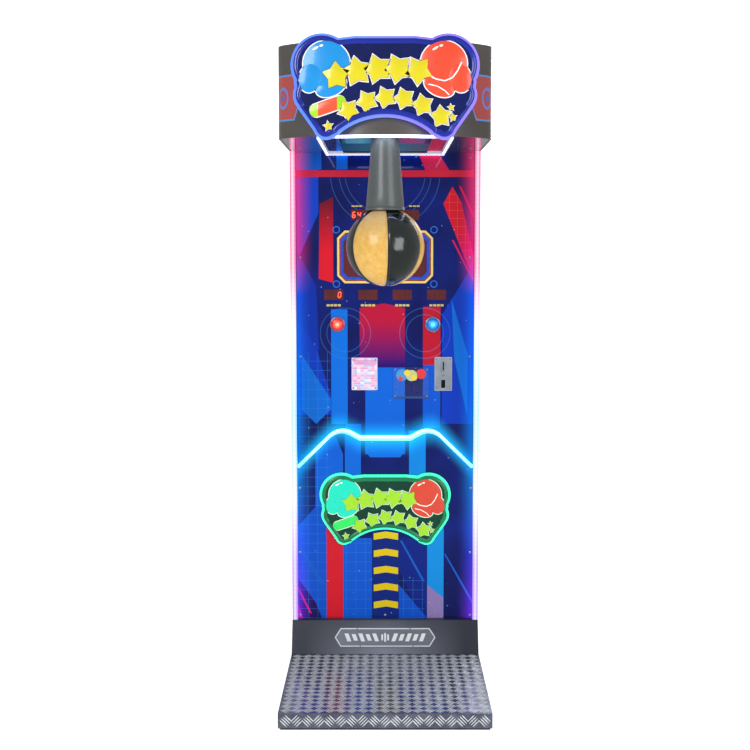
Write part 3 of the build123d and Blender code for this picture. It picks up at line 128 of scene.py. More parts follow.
class Finish:
    """A procedural material, with the masks and textures that its look is made from."""

    def __init__(self, name, **constants):
        self.material = bpy.data.materials.new(name)
        self.material.use_nodes = True
        self.nodes, self.links = self.material.node_tree.nodes, self.material.node_tree.links
        self.shader = self.nodes["Principled BSDF"]
        for socket, value in constants.items():
            self.set(socket.replace("_", " ").title().replace("Ior", "IOR"), value)

    def node(self, kind, settings=None, inputs=None, output=0):
        """Adds a node. Its settings are set first, then the values or links of its sockets."""
        made = self.nodes.new(kind)
        for key, value in (settings or {}).items():
            if key == "stops":
                while len(made.color_ramp.elements) < len(value):
                    made.color_ramp.elements.new(1.0)
                for stop, (place, colour) in zip(made.color_ramp.elements, value):
                    stop.position, stop.color = place, colour
            else:
                setattr(made, key, value)
        for key, value in (inputs or {}).items():
            self.feed(made.inputs[key], value)
        return Value(self, made.outputs[output])

    def feed(self, socket, value):
        if isinstance(value, Value):
            self.links.new(value.socket, socket)
        else:
            socket.default_value = value[:3] if socket.type == "VECTOR" else value

    def set(self, socket, value):
        """Sets or links one socket of the surface shader."""
        self.feed(self.shader.inputs[socket], value)
        return self

    def place(self):
        """Where the surface point is, in metres in the machine's own frame."""
        return self.node("ShaderNodeTexCoord", output="Object")

    def axes(self):
        """X, Y and Z of the surface point in millimetres."""
        split = self.node("ShaderNodeSeparateXYZ", inputs={0: self.place()}).socket.node
        return [Value(self, out) * 1000.0 for out in split.outputs]

    def facing(self, axis):
        """How much of the surface direction lies along an axis."""
        normal = self.node("ShaderNodeNewGeometry", output="Normal")
        return self.node("ShaderNodeSeparateXYZ", inputs={0: normal}, output=axis)

    def noise(self, scale, detail=3.0, roughness=0.5, stretch=(1.0, 1.0, 1.0)):
        """Noise from 0 to 1 with this many lumps a metre."""
        spread = self.node("ShaderNodeMapping", inputs={"Vector": self.place(), "Scale": stretch})
        return self.node("ShaderNodeTexNoise", inputs={
            "Vector": spread, "Scale": scale, "Detail": detail, "Roughness": roughness})

    def cells(self, scale, output="Distance", feature="F1"):
        return self.node("ShaderNodeTexVoronoi", {"feature": feature},
                         {"Vector": self.place(), "Scale": scale}, output)

    def mix(self, mask, under, over):
        """Colour under with colour over laid on it where mask is 1."""
        return self.node("ShaderNodeMix", {"data_type": "RGBA"}, {0: mask, 6: under, 7: over}, 2)

    def tint(self, colour, share):
        """A colour made darker or brighter by a varying share."""
        scaled = self.node("ShaderNodeVectorMath", {"operation": "SCALE"}, {0: colour, "Scale": share})
        return scaled

    def ramp(self, value, low, high, stops):
        """Colours along a value that runs from low to high."""
        share = self.node("ShaderNodeMapRange", {}, {0: value, 1: low, 2: high})
        return self.node("ShaderNodeValToRGB", {"stops": stops}, {0: share})

    def fade(self, value, low, high):
        """0 at low and 1 at high, straight between them."""
        return self.node("ShaderNodeMapRange", {}, {0: value, 1: low, 2: high})

    def polygon(self, across, up, corners):
        """1 inside a convex outline of (across, up) corners in millimetres."""
        turned = sum(a[0] * b[1] - b[0] * a[1] for a, b in zip(corners, corners[1:] + corners[:1]))
        if turned < 0:
            corners = corners[::-1]
        inside = None
        for (x0, z0), (x1, z1) in zip(corners, corners[1:] + corners[:1]):
            run, rise = x1 - x0, z1 - z0
            side = up.math("MULTIPLY_ADD", up, run, rise * x0 - run * z0)
            side = across.math("MULTIPLY_ADD", across, -rise, side) > 0.0
            inside = side if inside is None else inside & side
        return inside

    def disc(self, across, up, middle, radius):
        """1 inside a circle."""
        aside, above = across - middle[0], up - middle[1]
        return (aside * aside + above * above) < radius ** 2

    def bump(self, height, distance, strength=1.0):
        """Relief of this many millimetres on the surface."""
        relief = self.node("ShaderNodeBump", inputs={
            "Height": height, "Distance": distance * MM, "Strength": strength}, output="Normal")
        return self.set("Normal", relief)


def dress(finish, *names):
    """Gives CAD nodes a finish."""
    for name in names:
        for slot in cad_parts[name].material_slots:
            slot.link = "OBJECT"
            slot.material = finish.material


def painted_metal(name, colour, roughness, texture=900.0, relief=0.02):
    """Powder coat: a fine orange peel and slightly uneven gloss."""
    finish = Finish(name, roughness=roughness)
    tone = finish.noise(9.0, 4.0)
    finish.set("Base Color", finish.tint(colour, tone * 0.3 + 0.85))
    finish.set("Roughness", tone * 0.16 + (roughness - 0.08))
    return finish.bump(finish.noise(texture, 2.0), relief, 0.6)


def bare_metal(name, colour, roughness, stretch=(1.0, 1.0, 1.0), grain=600.0):
    """Uncoated metal with a drawn or cast grain."""
    finish = Finish(name, metallic=1.0)
    marks, cloud = finish.noise(grain, 3.0, 0.6, stretch), finish.noise(14.0, 5.0)
    finish.set("Base Color", finish.tint(colour, marks * 0.14 + cloud * 0.16 + 0.85))
    finish.set("Roughness", marks * 0.12 + cloud * 0.14 + (roughness - 0.13))
    return finish.bump(marks, 0.01, 0.5)


def moulded(name, colour, roughness, relief=0.02):
    """Moulded plastic or rubber with a fine texture."""
    finish = Finish(name)
    tone = finish.noise(20.0, 4.0)
    finish.set("Base Color", finish.tint(colour, tone * 0.35 + 0.82))
    finish.set("Roughness", tone * 0.14 + (roughness - 0.07))
    return finish.bump(finish.noise(1500.0, 2.0), relief, 0.5)


# ------------------------------------------------------------------ shapes
def finished(bm, name, finish, body, replaces=(), smooth=35.0):
    """Makes a piece from a bmesh that is already in the machine's frame."""
    bmesh.ops.recalc_face_normals(bm, faces=bm.faces)
    mesh = bpy.data.meshes.new(name)
    bm.to_mesh(mesh)
    bm.free()
    mesh.materials.append(finish.material)
    mesh.shade_smooth()
    mesh.set_sharp_from_angle(angle=math.radians(smooth))
    piece = bpy.data.objects.new(name, mesh)
    bpy.context.scene.collection.objects.link(piece)
    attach(piece, body)
    if replaces:
        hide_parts(*replaces)
    return piece


def raise_outline(bm, verts, depth, edge, segments=2):
    """Thickens a flat face towards the front and rounds its front edge."""
    faces = list({face for vert in verts for face in vert.link_faces})
    made = bmesh.ops.extrude_face_region(bm, geom=faces)["geom"]
    front = [part for part in made if isinstance(part, bmesh.types.BMFace)]
    bmesh.ops.translate(bm, vec=(0, -depth, 0),
                        verts=[part for part in made if isinstance(part, bmesh.types.BMVert)])
    if edge:
        bmesh.ops.bevel(bm, geom=list({e for face in front for e in face.edges}), offset=edge,
                        segments=segments, profile=0.5, affect="EDGES", material=-1)


def oval(bm, middle, size, y, depth, edge, turn=0.0, sides=40, waist=None):
    """A raised oval that faces the front, or a star when the waist narrows every other corner."""
    place = (Matrix.Translation((middle[0], y, middle[1])) @ FACING_FRONT
             @ Matrix.Rotation(math.radians(turn), 4, "Z") @ Matrix.Diagonal((size[0], size[1], 1, 1)))
    verts = bmesh.ops.create_circle(bm, cap_ends=True, segments=sides, radius=1.0, matrix=place)["verts"]
    if waist:
        hub = Vector((middle[0], y, middle[1]))
        for vert in verts[1::2]:
            vert.co = hub + (vert.co - hub) * waist
    raise_outline(bm, verts, depth, edge)


def bar(bm, start, end, width, y, depth, edge):
    """A raised straight bar with square ends that faces the front."""
    run = Vector((end[0] - start[0], end[1] - start[1]))
    place = (Matrix.Translation(((start[0] + end[0]) / 2, y, (start[1] + end[1]) / 2)) @ FACING_FRONT
             @ Matrix.Rotation(math.atan2(run.y, run.x), 4, "Z")
             @ Matrix.Diagonal((run.length / 2, width / 2, 1, 1)))
    verts = bmesh.ops.create_grid(bm, x_segments=1, y_segments=1, size=1.0, matrix=place)["verts"]
    raise_outline(bm, verts, depth, edge, 1)


def capsule(bm, start, end, width, y, depth, edge):
    """A raised bar with round ends that faces the front."""
    run = Vector((end[0] - start[0], end[1] - start[1]))
    place = (Matrix.Translation(((start[0] + end[0]) / 2, y, (start[1] + end[1]) / 2)) @ FACING_FRONT
             @ Matrix.Rotation(math.atan2(run.y, run.x), 4, "Z"))
    verts = bmesh.ops.create_circle(bm, cap_ends=True, segments=24, radius=width / 2, matrix=place)["verts"]
    along = Vector((run.x, 0, run.y)).normalized()
    middle = Vector(((start[0] + end[0]) / 2, y, (start[1] + end[1]) / 2))
    for vert in verts:
        side = (vert.co - middle).dot(along)
        if abs(side) > 1e-7:
            vert.co += along * math.copysign(max(run.length - width, 0) / 2, side)
    raise_outline(bm, verts, depth, edge)


# ------------------------------------------------------------------ settings
class PlatformSettings(bpy.types.PropertyGroup):
    """Sizes of the platform's tread pattern."""
    pitch: FloatProperty(name="Pattern pitch", description="Distance between neighbouring groups of bars",
                         default=36.9 * MM, min=0.02, unit="LENGTH")
    bars: IntProperty(name="Bars", description="Bars in one group", default=4, min=1, max=6)
    bar_length: FloatProperty(name="Bar length", description="Length of one raised bar",
                              default=37 * MM, min=0.005, unit="LENGTH")
    bar_width: FloatProperty(name="Bar width", description="Width of one raised bar",
                             default=3.3 * MM, min=0.001, unit="LENGTH")
    bar_height: FloatProperty(name="Bar height", description="Height of a bar above the sheet",
                              default=1.5 * MM, min=0.0002, unit="LENGTH")
    skirt_height: FloatProperty(name="Skirt bar height", description="Height of a bar on the folded edges",
                                default=0.7 * MM, min=0.0002, unit="LENGTH")


class LightSettings(bpy.types.PropertyGroup):
    """Colours and strengths of the machine's own lights."""
    top: FloatVectorProperty(name="Column top", description="Colour of the light columns at the top",
                             default=ink(255, 84, 128)[:3], subtype="COLOR", min=0, max=1)
    middle: FloatVectorProperty(name="Column middle", description="Colour of the light columns in the middle",
                                default=ink(150, 222, 255)[:3], subtype="COLOR", min=0, max=1)
    foot: FloatVectorProperty(name="Column foot", description="Colour of the light columns at the foot",
                              default=ink(176, 120, 255)[:3], subtype="COLOR", min=0, max=1)
    column: FloatProperty(name="Column strength", description="Brightness of the light columns",
                          default=0.95, min=0)
    neon: FloatProperty(name="Neon strength", description="Brightness of the neon strip", default=4.5, min=0)
    halo: FloatProperty(name="Halo strength", description="Brightness of the signs' lit edges",
                        default=1.0, min=0)
    ceiling: FloatProperty(name="Ceiling strength", description="Brightness of the ceiling light frame",
                           default=6.0, min=0)
    button: FloatProperty(name="Button strength", description="Brightness of the lit buttons",
                          default=1.6, min=0)


class SignSettings(bpy.types.PropertyGroup):
    """Sizes of the raised sign work."""
    rim: FloatProperty(name="Rim width", description="Width of the rounded rim round a sign",
                       default=17 * MM, min=0.004, unit="LENGTH")
    rim_height: FloatProperty(name="Rim height", description="How far the rim stands up from the board",
                              default=5 * MM, min=0.001, unit="LENGTH")
    outline: FloatProperty(name="Outline", description="White edge that shows round each raised shape",
                           default=3.2 * MM, min=0.0005, unit="LENGTH")


class BallSettings(bpy.types.PropertyGroup):
    """Shape of the ball and its sleeve."""
    gores: IntProperty(name="Gores", description="Leather panels round the ball", default=6, min=4, max=12)
    seam_turn: FloatProperty(name="Seam turn", description="How far the front seam is turned to the right",
                             default=math.radians(4.5), subtype="ANGLE")
    seam_depth: FloatProperty(name="Seam depth", description="Depth of the groove at a seam",
                              default=2.4 * MM, min=0, unit="LENGTH")
    seam_width: FloatProperty(name="Seam width", description="Half width of the groove at a seam",
                              default=3.4 * MM, min=0.0005, unit="LENGTH")
    flattening: FloatProperty(name="Flattening", description="How much flatter a gore is beside its seams",
                              default=2.0 * MM, min=0, unit="LENGTH")


class StageSettings(bpy.types.PropertyGroup):
    """Camera and studio."""
    distance: FloatProperty(name="Camera distance", description="Camera's distance in front of the origin",
                            default=4.393, min=1, unit="LENGTH")
    height: FloatProperty(name="Camera height", description="Camera's height above the floor",
                          default=1.533, min=0, unit="LENGTH")
    tilt: FloatProperty(name="Camera tilt", description="How far the camera looks down",
                        default=math.radians(4.882), subtype="ANGLE")
    lens: FloatProperty(name="Lens", description="Focal length in millimetres", default=57.6, min=10)
    studio: FloatProperty(name="Studio light", description="Brightness of the even studio light",
                          default=0.34, min=0)
    key: FloatProperty(name="Key light", description="Power of the large soft light in watts",
                       default=120.0, min=0)


class MachineSettings(bpy.types.PropertyGroup):
    """All settings of the machine."""
    platform: PointerProperty(type=PlatformSettings)
    light: PointerProperty(type=LightSettings)
    sign: PointerProperty(type=SignSettings)
    ball: PointerProperty(type=BallSettings)
    stage: PointerProperty(type=StageSettings)


# ------------------------------------------------------------------ platform
class PUNCH_OT_platform(bpy.types.Operator):
    """Tread plate with its raised bars, the frame under it and the feet"""
    bl_idname = "punch.platform"
    bl_label = "Platform"

    def execute(self, context):
        made = context.scene.punch_machine.platform
        low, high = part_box("tread_plate")

        def aluminium(name, dull, bright, metallic):
            """Tread aluminium with light scuffs and a fine rolled grain."""
            made = Finish(name, metallic=metallic)
            scuffs, fine = made.noise(26.0, 6.0, 0.65), made.noise(420.0, 2.0)
            made.set("Base Color", made.mix(made.fade(scuffs, 0.35, 0.75), dull, bright))
            made.set("Roughness", scuffs * 0.12 + fine * 0.06 + 0.18)
            return made.bump(fine, 0.02, 0.4)

        dress(aluminium("tread_aluminium", ink(112, 117, 136), ink(152, 157, 174), 0.8), "tread_plate")

        # one group of bars at a height of 1, then copies of it over the top and the folded edges
        group = bmesh.new()
        for step in range(made.bars):
            aside = (step - (made.bars - 1) / 2) * made.pitch / (made.bars + 0.6)
            length = made.bar_length / 2 * (1 - 0.25 * abs(aside) / made.pitch)
            bmesh.ops.create_uvsphere(group, u_segments=8, v_segments=4, radius=1.0,
                                      matrix=Matrix.Translation((0, aside, 0))
                                      @ Matrix.Diagonal((length, made.bar_width / 2, 1, 1)))
        stamp = bpy.data.meshes.new("tread_group")
        group.to_mesh(stamp)
        group.free()
        bm = bmesh.new()
        edge = 8 * MM
        wide, deep, tall = high.x - low.x - 2 * edge, high.y - low.y - 2 * edge, high.z - low.z
        faces = (
            (Matrix.Translation((low.x + edge, low.y + edge, high.z)), wide, deep, made.bar_height),
            (Matrix.Translation((low.x + edge, low.y, low.z)) @ FACING_FRONT, wide, tall, made.skirt_height),
            (Matrix.Translation((low.x, high.y - edge, low.z)) @ Matrix.Rotation(math.radians(-90), 4, "Z")
             @ FACING_FRONT, deep, tall, made.skirt_height),
            (Matrix.Translation((high.x, low.y + edge, low.z)) @ Matrix.Rotation(math.radians(90), 4, "Z")
             @ FACING_FRONT, deep, tall, made.skirt_height),
        )
        for place, width, height, rise in faces:
            columns = max(1, round(width / made.pitch))
            rows = max(1, round(height / made.pitch))
            for column in range(columns):
                for row in range(rows):
                    middle = Vector(((column + 0.5) * width / columns, (row + 0.5) * height / rows, 0))
                    turn = math.radians(45 if (column + row) % 2 else -45)
                    put = (place @ Matrix.Translation(middle) @ Matrix.Rotation(turn, 4, "Z")
                           @ Matrix.Diagonal((1, 1, rise, 1)))
                    copy = stamp.copy()
                    copy.transform(put)
                    bm.from_mesh(copy)
                    bpy.data.meshes.remove(copy)
        bpy.data.meshes.remove(stamp)
        # painted highlight: the raised bars get a near-white copy of the tread aluminium, much lighter than the sheet
        # around them
        bars = aluminium("tread_bar_aluminium_painted_highlight", ink(226, 229, 236), ink(248, 250, 252), 0.35)
        finished(bm, "tread_bars", bars, "root", smooth=60)

        steel = painted_metal("black_steel", ink(24, 24, 27), 0.5)
        dress(steel, "platform_frame", "base_frame")
        rubber = moulded("black_rubber", ink(20, 20, 21), 0.75, 0.05)
        dress(rubber, "platform_foot_strips", "arm_buffers")
        zinc = bare_metal("zinc_steel", ink(178, 182, 190), 0.36)
        dress(zinc, "levelling_feet", "wheel_brackets", "hinge_leaves_cabinet", "hinge_leaves_door")

        wheel = Finish("wheel_rubber")
        x, y, z = wheel.axes()
        hub_low, hub_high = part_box("transport_wheel_left")
        middle = (hub_low + hub_high) / 2 * 1000
        hub = wheel.disc(y, z, (middle.y, middle.z), 15.0)
        wheel.set("Base Color", wheel.mix(hub, ink(26, 26, 27), ink(150, 153, 158)))
        wheel.set("Roughness", wheel.noise(60.0, 3.0) * 0.2 + 0.5)
        wheel.bump(wheel.noise(900.0, 2.0), 0.04, 0.6)
        dress(wheel, "transport_wheel_left", "transport_wheel_right")
        return {"FINISHED"}


# ------------------------------------------------------------------ cabinet
class PUNCH_OT_cabinet(bpy.types.Operator):
    """Side panels, back, door and the sloping kick plate"""
    bl_idname = "punch.cabinet"
    bl_label = "Cabinet"

    def execute(self, context):
        laminate = Finish("side_laminate", coat_weight=0.25, coat_roughness=0.2)
        x, y, z = laminate.axes()
        tone = laminate.noise(7.0, 4.0)
        edge_strip = y < (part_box("side_panel_left")[0].y * 1000 + 1.0)
        laminate.set("Base Color", laminate.mix(edge_strip, laminate.tint(ink(30, 32, 38), tone * 0.3 + 0.85),
                                                ink(198, 202, 210)))
        laminate.set("Roughness", laminate.noise(300.0, 2.0) * 0.12 + 0.32)
        laminate.bump(laminate.noise(1200.0, 2.0), 0.02, 0.5)
        dress(laminate, "side_panel_left", "side_panel_right")
        back = painted_metal("black_laminate", ink(22, 23, 25), 0.45, 1400.0, 0.03)
        dress(back, "rear_door", "roof_panel")
        lining = painted_metal("head_lining", ink(22, 23, 25), 0.45, 1400.0, 0.03)
        x, y, z = lining.axes()
        # painted glow: the front faces of the black back panel inside the head get a coloured sweep, also as emission,
        # standing in for the head's lights falling on it
        inside = (z > 1925.0) & (lining.facing(1) < -0.5)
        painted_glow_sweep = lining.ramp(x + lining.noise(6.0, 3.0) * 120.0, -220.0, 260.0, (
            (0.0, ink(20, 120, 210)), (0.35, ink(120, 200, 230)), (0.55, ink(40, 110, 190)), (0.8, ink(200, 90, 150)),
            (1.0, ink(60, 120, 200))))
        plain = Value(lining, lining.shader.inputs["Base Color"].links[0].from_socket)
        lining.set("Base Color", lining.mix(inside, plain, painted_glow_sweep))
        lining.set("Emission Color", lining.mix(inside, ink(0, 0, 0), painted_glow_sweep))
        lining.set("Emission Strength", 0.45)
        dress(lining, "back_panel")
        frame_steel = bare_metal("frame_steel", ink(92, 104, 124), 0.3)
        x, y, z = frame_steel.axes()
        # painted glow: the front faces of the bare steel frame emit a coloured sweep, standing in for the head's lights
        # falling on them
        lit = frame_steel.facing(1) < -0.5
        frame_steel.set("Emission Color", frame_steel.mix(lit, ink(0, 0, 0), frame_steel.ramp(
            x, -220.0, 260.0, ((0.0, ink(10, 60, 120)), (0.5, ink(60, 120, 150)), (1.0, ink(110, 50, 110))))))
        frame_steel.set("Emission Strength", 0.6)
        dress(frame_steel, "mechanism_frame")

        board = Finish("raw_board", roughness=0.75)
        grain = board.noise(22.0, 6.0, 0.6, (1.0, 1.0, 9.0))
        board.set("Base Color", board.mix(grain, ink(150, 108, 70), ink(205, 168, 122)))
        board.bump(grain, 0.15, 0.6)
        dress(board, "floor_and_battens")

        slate = Finish("slate_paint", metallic=0.35, coat_weight=0.3, coat_roughness=0.25)
        x, y, z = slate.axes()
        # painted highlight: the slate is painted lighter in the middle and towards the top of the kick plate
        glow = slate.fade(abs(x), 300.0, 10.0)
        height = slate.fade(z, 172.0, 60.0)
        base = slate.mix(glow * (height * 0.7 + 0.3), ink(34, 39, 54), ink(128, 132, 148))
        slate.set("Base Color", slate.tint(base, slate.noise(18.0, 5.0) * 0.14 + 0.93))
        slate.set("Roughness", slate.noise(60.0, 3.0) * 0.14 + 0.30)
        slate.bump(slate.noise(900.0, 2.0), 0.02, 0.5)
        dress(slate, "kick_plate")
        return {"FINISHED"}


class PUNCH_OT_name_plate(bpy.types.Operator):
    """Six-sided plate on the kick plate, with its white border and blank marks"""
    bl_idname = "punch.name_plate"
    bl_label = "Name plate"

    def execute(self, context):
        low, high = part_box("name_plate")
        kick_low, kick_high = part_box("kick_plate")
        plate = Finish("name_plate_metal", metallic=0.7, coat_weight=0.3)
        brushed = plate.noise(90.0, 4.0, 0.6, (0.15, 1.0, 6.0))
        plate.set("Base Color", plate.mix(brushed, ink(96, 101, 116), ink(132, 137, 150)))
        plate.set("Roughness", brushed * 0.2 + 0.26)
        plate.bump(brushed, 0.02, 0.4)
        dress(plate, "name_plate")

        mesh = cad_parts["name_plate"].data
        slope = Vector((0, high.y - low.y, high.z - low.z)).normalized()
        out = max((poly.normal for poly in mesh.polygons), key=lambda n: -n.y + n.z * 0.2).copy()
        slope = out.cross(Vector((1, 0, 0))).normalized()
        if slope.z < 0:
            slope = -slope
        heights = [vert.co.dot(out) for vert in mesh.vertices]
        middle = Vector((0, (low.y + high.y) / 2, (low.z + high.z) / 2))
        middle += out * (max(heights) - middle.dot(out))
        turn = Matrix((( 1, 0, 0, middle.x), (0, slope.y, out.y, middle.y),
                       (0, slope.z, out.z, middle.z), (0, 0, 0, 1)))
        half_x = (high.x - low.x) / 2 - 4 * MM
        half_s = max(abs((vert.co - middle).dot(slope)) for vert in mesh.vertices) - 4 * MM
        point = 21 * MM
        line = 3.2 * MM
        bm = bmesh.new()

        def mark(start, end, width, lean=0.0):
            run = Vector((end[0] - start[0], end[1] - start[1]))
            shear = Matrix.Identity(4)
            shear[0][1] = lean
            place = (turn @ Matrix.Translation(((start[0] + end[0]) / 2, (start[1] + end[1]) / 2, 0.15 * MM))
                     @ Matrix.Rotation(math.atan2(run.y, run.x), 4, "Z") @ shear
                     @ Matrix.Diagonal((run.length, width, 0.6 * MM, 1)))
            bmesh.ops.create_cube(bm, size=1.0, matrix=place)

        for side in (-1, 1):
            gaps = (-0.56, 0.50) if side > 0 else (-0.50, 0.56)
            stops = [-1.0 + point / half_x, *[g for gap in gaps for g in (gap - 0.012, gap + 0.012)],
                     1.0 - point / half_x]
            for start, end in zip(stops[::2], stops[1::2]):
                mark((start * half_x, side * half_s), (end * half_x, side * half_s), line)
            for rise in (-1, 1):
                mark((side * (half_x - point), rise * half_s), (side * half_x, 0), line)
        for side in (-1, 1):
            for step in range(5):
                middle_x = side * (36 + step * 26) * MM
                tall = (24 if step % 2 else 29) * MM
                mark((middle_x - 7.5 * MM, 0), (middle_x + 7.5 * MM, 0), tall, side * 0.38)
        for step in range(-1, 2):
            mark((step * 11 * MM - 3.4 * MM, 0), (step * 11 * MM + 3.4 * MM, 0), (32 - abs(step) * 10) * MM)
        white = Finish("plate_white", roughness=0.35)
        white.set("Base Color", white.tint(ink(236, 238, 243), white.noise(120.0, 3.0) * 0.08 + 0.94))
        finished(bm, "name_plate_marks", white, "root", smooth=20)
        return {"FINISHED"}


# ------------------------------------------------------------------ printed front
def front_artwork(finish, x, z):
    """The printed artwork: shards, bars, a fine grid and small sparks."""
    deep, navy = ink(4, 18, 92), ink(6, 32, 128)
    royal, sky, pale = ink(0, 70, 214), ink(0, 122, 236), ink(20, 150, 245)
    red, crimson, magenta = ink(232, 24, 48), ink(120, 12, 40), ink(240, 0, 130)
    cloud = finish.noise(5.0, 4.0)
    colour = finish.mix(finish.fade(cloud, 0.35, 0.65), deep, navy)
    shards = (
        (((-332, 1922), (-232, 1922), (-214, 1780), (-250, 1700), (-250, 1480), (-332, 1300)), royal),
        (((-332, 1560), (-260, 1430), (-250, 1190), (-332, 1000)), ink(0, 50, 180)),
        (((-332, 1300), (-262, 1200), (-205, 1010), (-205, 940), (-332, 940)), ink(0, 60, 196)),
        (((-316, 1170), (-206, 1000), (-206, 960), (-262, 905), (-316, 960)), ink(0, 112, 226)),
        (((332, 1510), (215, 1320), (215, 905), (332, 905)), ink(0, 62, 202)),
        (((250, 1380), (312, 1170), (312, 935), (262, 1150)), ink(0, 118, 232)),
        (((-332, 718), (-262, 790), (-262, 600), (-332, 520)), ink(3, 28, 110)),
        (((-262, 820), (-190, 880), (-158, 800), (-158, 480), (-262, 480)), ink(0, 98, 222)),
        (((-332, 520), (-262, 600), (-158, 600), (-158, 172), (-332, 172)), ink(0, 84, 210)),
        (((-332, 330), (-262, 230), (-240, 172), (-332, 172)), ink(30, 6, 96)),
        (((-158, 480), (-50, 480), (-50, 172), (-158, 172)), ink(0, 92, 220)),
        (((52, 300), (160, 172), (52, 172)), ink(0, 84, 212)),
        (((52, 480), (160, 480), (160, 172), (110, 230), (52, 360)), ink(3, 36, 140)),
    )
    for corners, shade in shards:
        colour = finish.mix(finish.polygon(x, z, list(corners)), colour, shade)
    across, up = (x + 3.0) % 36.0, (z + 8.0) % 36.0
    grid = (across < 1.1) | (up < 1.1)
    gridded = ((x < -205.0) & (z < 1180.0)) | (x.near(-104.0, 54.0) & (z < 480.0)) | (x.near(100.0, 48.0) & (z < 330.0))
    colour = finish.mix(grid & gridded & 0.45, colour, ink(60, 170, 250))

    # red flank beside the score frame, and the hot shard on the right
    flank = finish.polygon(x, z, [(-245, 1735), (-195, 1760), (-195, 1440), (-250, 1455)])
    colour = finish.mix(flank, colour, finish.mix(finish.fade(z, 1740.0, 1560.0), crimson, red))
    shard = finish.polygon(x, z, [(252, 1800), (286, 1740), (332, 1540), (332, 1450), (218, 1735)])
    colour = finish.mix(shard, colour, finish.mix(finish.fade(z, 1640.0, 1480.0), red, magenta))
    lattice = ((x % 30.0) < 1.2) | ((z % 30.0) < 1.2)
    colour = finish.mix(shard & lattice & 0.6, colour, ink(255, 110, 120))
    strokes = (((276, 1800), (284, 1800), (332, 1700), (332, 1680)), ((250, 1600), (257, 1600), (332, 1455), (332, 1440)),
               ((-332, 300), (-332, 285), (-285, 190), (-278, 190)), ((-332, 240), (-332, 172), (-312, 172)))
    for corners in strokes:
        colour = finish.mix(finish.polygon(x, z, list(corners)), colour, ink(235, 20, 90))
    lines = (((56, 470), (64, 470), (150, 315), (142, 312)), ((222, 420), (228, 420), (332, 240), (332, 222)),
             ((-332, 470), (-332, 448), (-240, 300), (-226, 300)))
    for corners in lines:
        colour = finish.mix(finish.polygon(x, z, list(corners)), colour, ink(10, 96, 205))

    # upright bars above and below the neon
    bars = ((-173, 31, 905, 1340, ink(0, 116, 232)), (176, 33, 1130, 1350, ink(200, 20, 50)),
            (176, 33, 890, 1130, ink(0, 92, 220)), (-121, 30, 690, 905, ink(0, 108, 228)),
            (121, 31, 690, 880, ink(0, 140, 236)), (-190, 31, 172, 620, ink(226, 22, 44)),
            (190, 31, 172, 620, ink(4, 150, 236)), (0, 75, 800, 1120, ink(0, 106, 228)))
    for middle, half, low, high, shade in bars:
        colour = finish.mix(x.near(middle, half) & z.near((low + high) / 2, (high - low) / 2), colour, shade)
    tongue = finish.polygon(x, z, [(-75, 860), (75, 860), (75, 812), (56, 788), (-56, 788), (-75, 812)])
    colour = finish.mix(tongue, colour, ink(0, 112, 230))
    wedge = finish.polygon(x, z, [(-96, 1345), (-15, 1361), (0, 1362), (75, 1345), (75, 1100), (-96, 1100)])
    lower = finish.mix(finish.fade(z, 1300.0, 1130.0), ink(196, 16, 60), ink(40, 10, 120))
    colour = finish.mix(wedge & (z > 1120.0), colour, lower)
    heel = finish.polygon(x, z, [(159, 300), (221, 250), (221, 172), (159, 172)])
    colour = finish.mix(heel, colour, ink(150, 130, 190))

    # top red beam, with the panels above it
    above = z > 1862.0
    colour = finish.mix(above & (x < -140.0), colour, ink(0, 96, 214))
    colour = finish.mix(above & x.near(-210.0, 28.0), colour, ink(6, 30, 108))
    colour = finish.mix(finish.polygon(x, z, [(125, 1922), (200, 1922), (240, 1859), (150, 1859)]), colour, ink(210, 30, 80))
    colour = finish.mix(z.near(1847.0, 12.5), colour, ink(222, 34, 62))

    # faint rings of the speaker and score backgrounds
    for middle, radii in (((0, 1850), (150, 172, 205)), ((-150, 1250), (70, 95)), ((150, 1250), (70, 95))):
        aside, rise = x - middle[0], z - middle[1]
        away = (aside * aside + rise * rise) ** 0.5
        for radius in radii:
            colour = finish.mix((away.near(radius, 1.6) & (z < 1830.0)) & 0.35, colour, ink(70, 130, 200))

    # yellow arrows on their dark strip
    strip = x.near(1.0, 51.0) & (z < 520.0)
    colour = finish.mix(strip, colour, ink(3, 38, 132))
    arrow = ((z + abs(x - 3.0) * 0.16) - 176.0) % 66.0
    arrows = arrow.near(53.0, 12.5) & x.near(3.0, 46.0) & z.near(352.0, 160.0)
    colour = finish.mix(arrows, colour, ink(240, 208, 14))

    # small sparks
    distance, pick = finish.cells(42.0), finish.cells(42.0, "Color")
    pick = finish.node("ShaderNodeSeparateXYZ", inputs={0: pick})
    sparks = (distance < 0.075) & (pick > 0.80)
    colour = finish.mix(sparks & 0.7, colour, ink(200, 225, 250))
    return colour


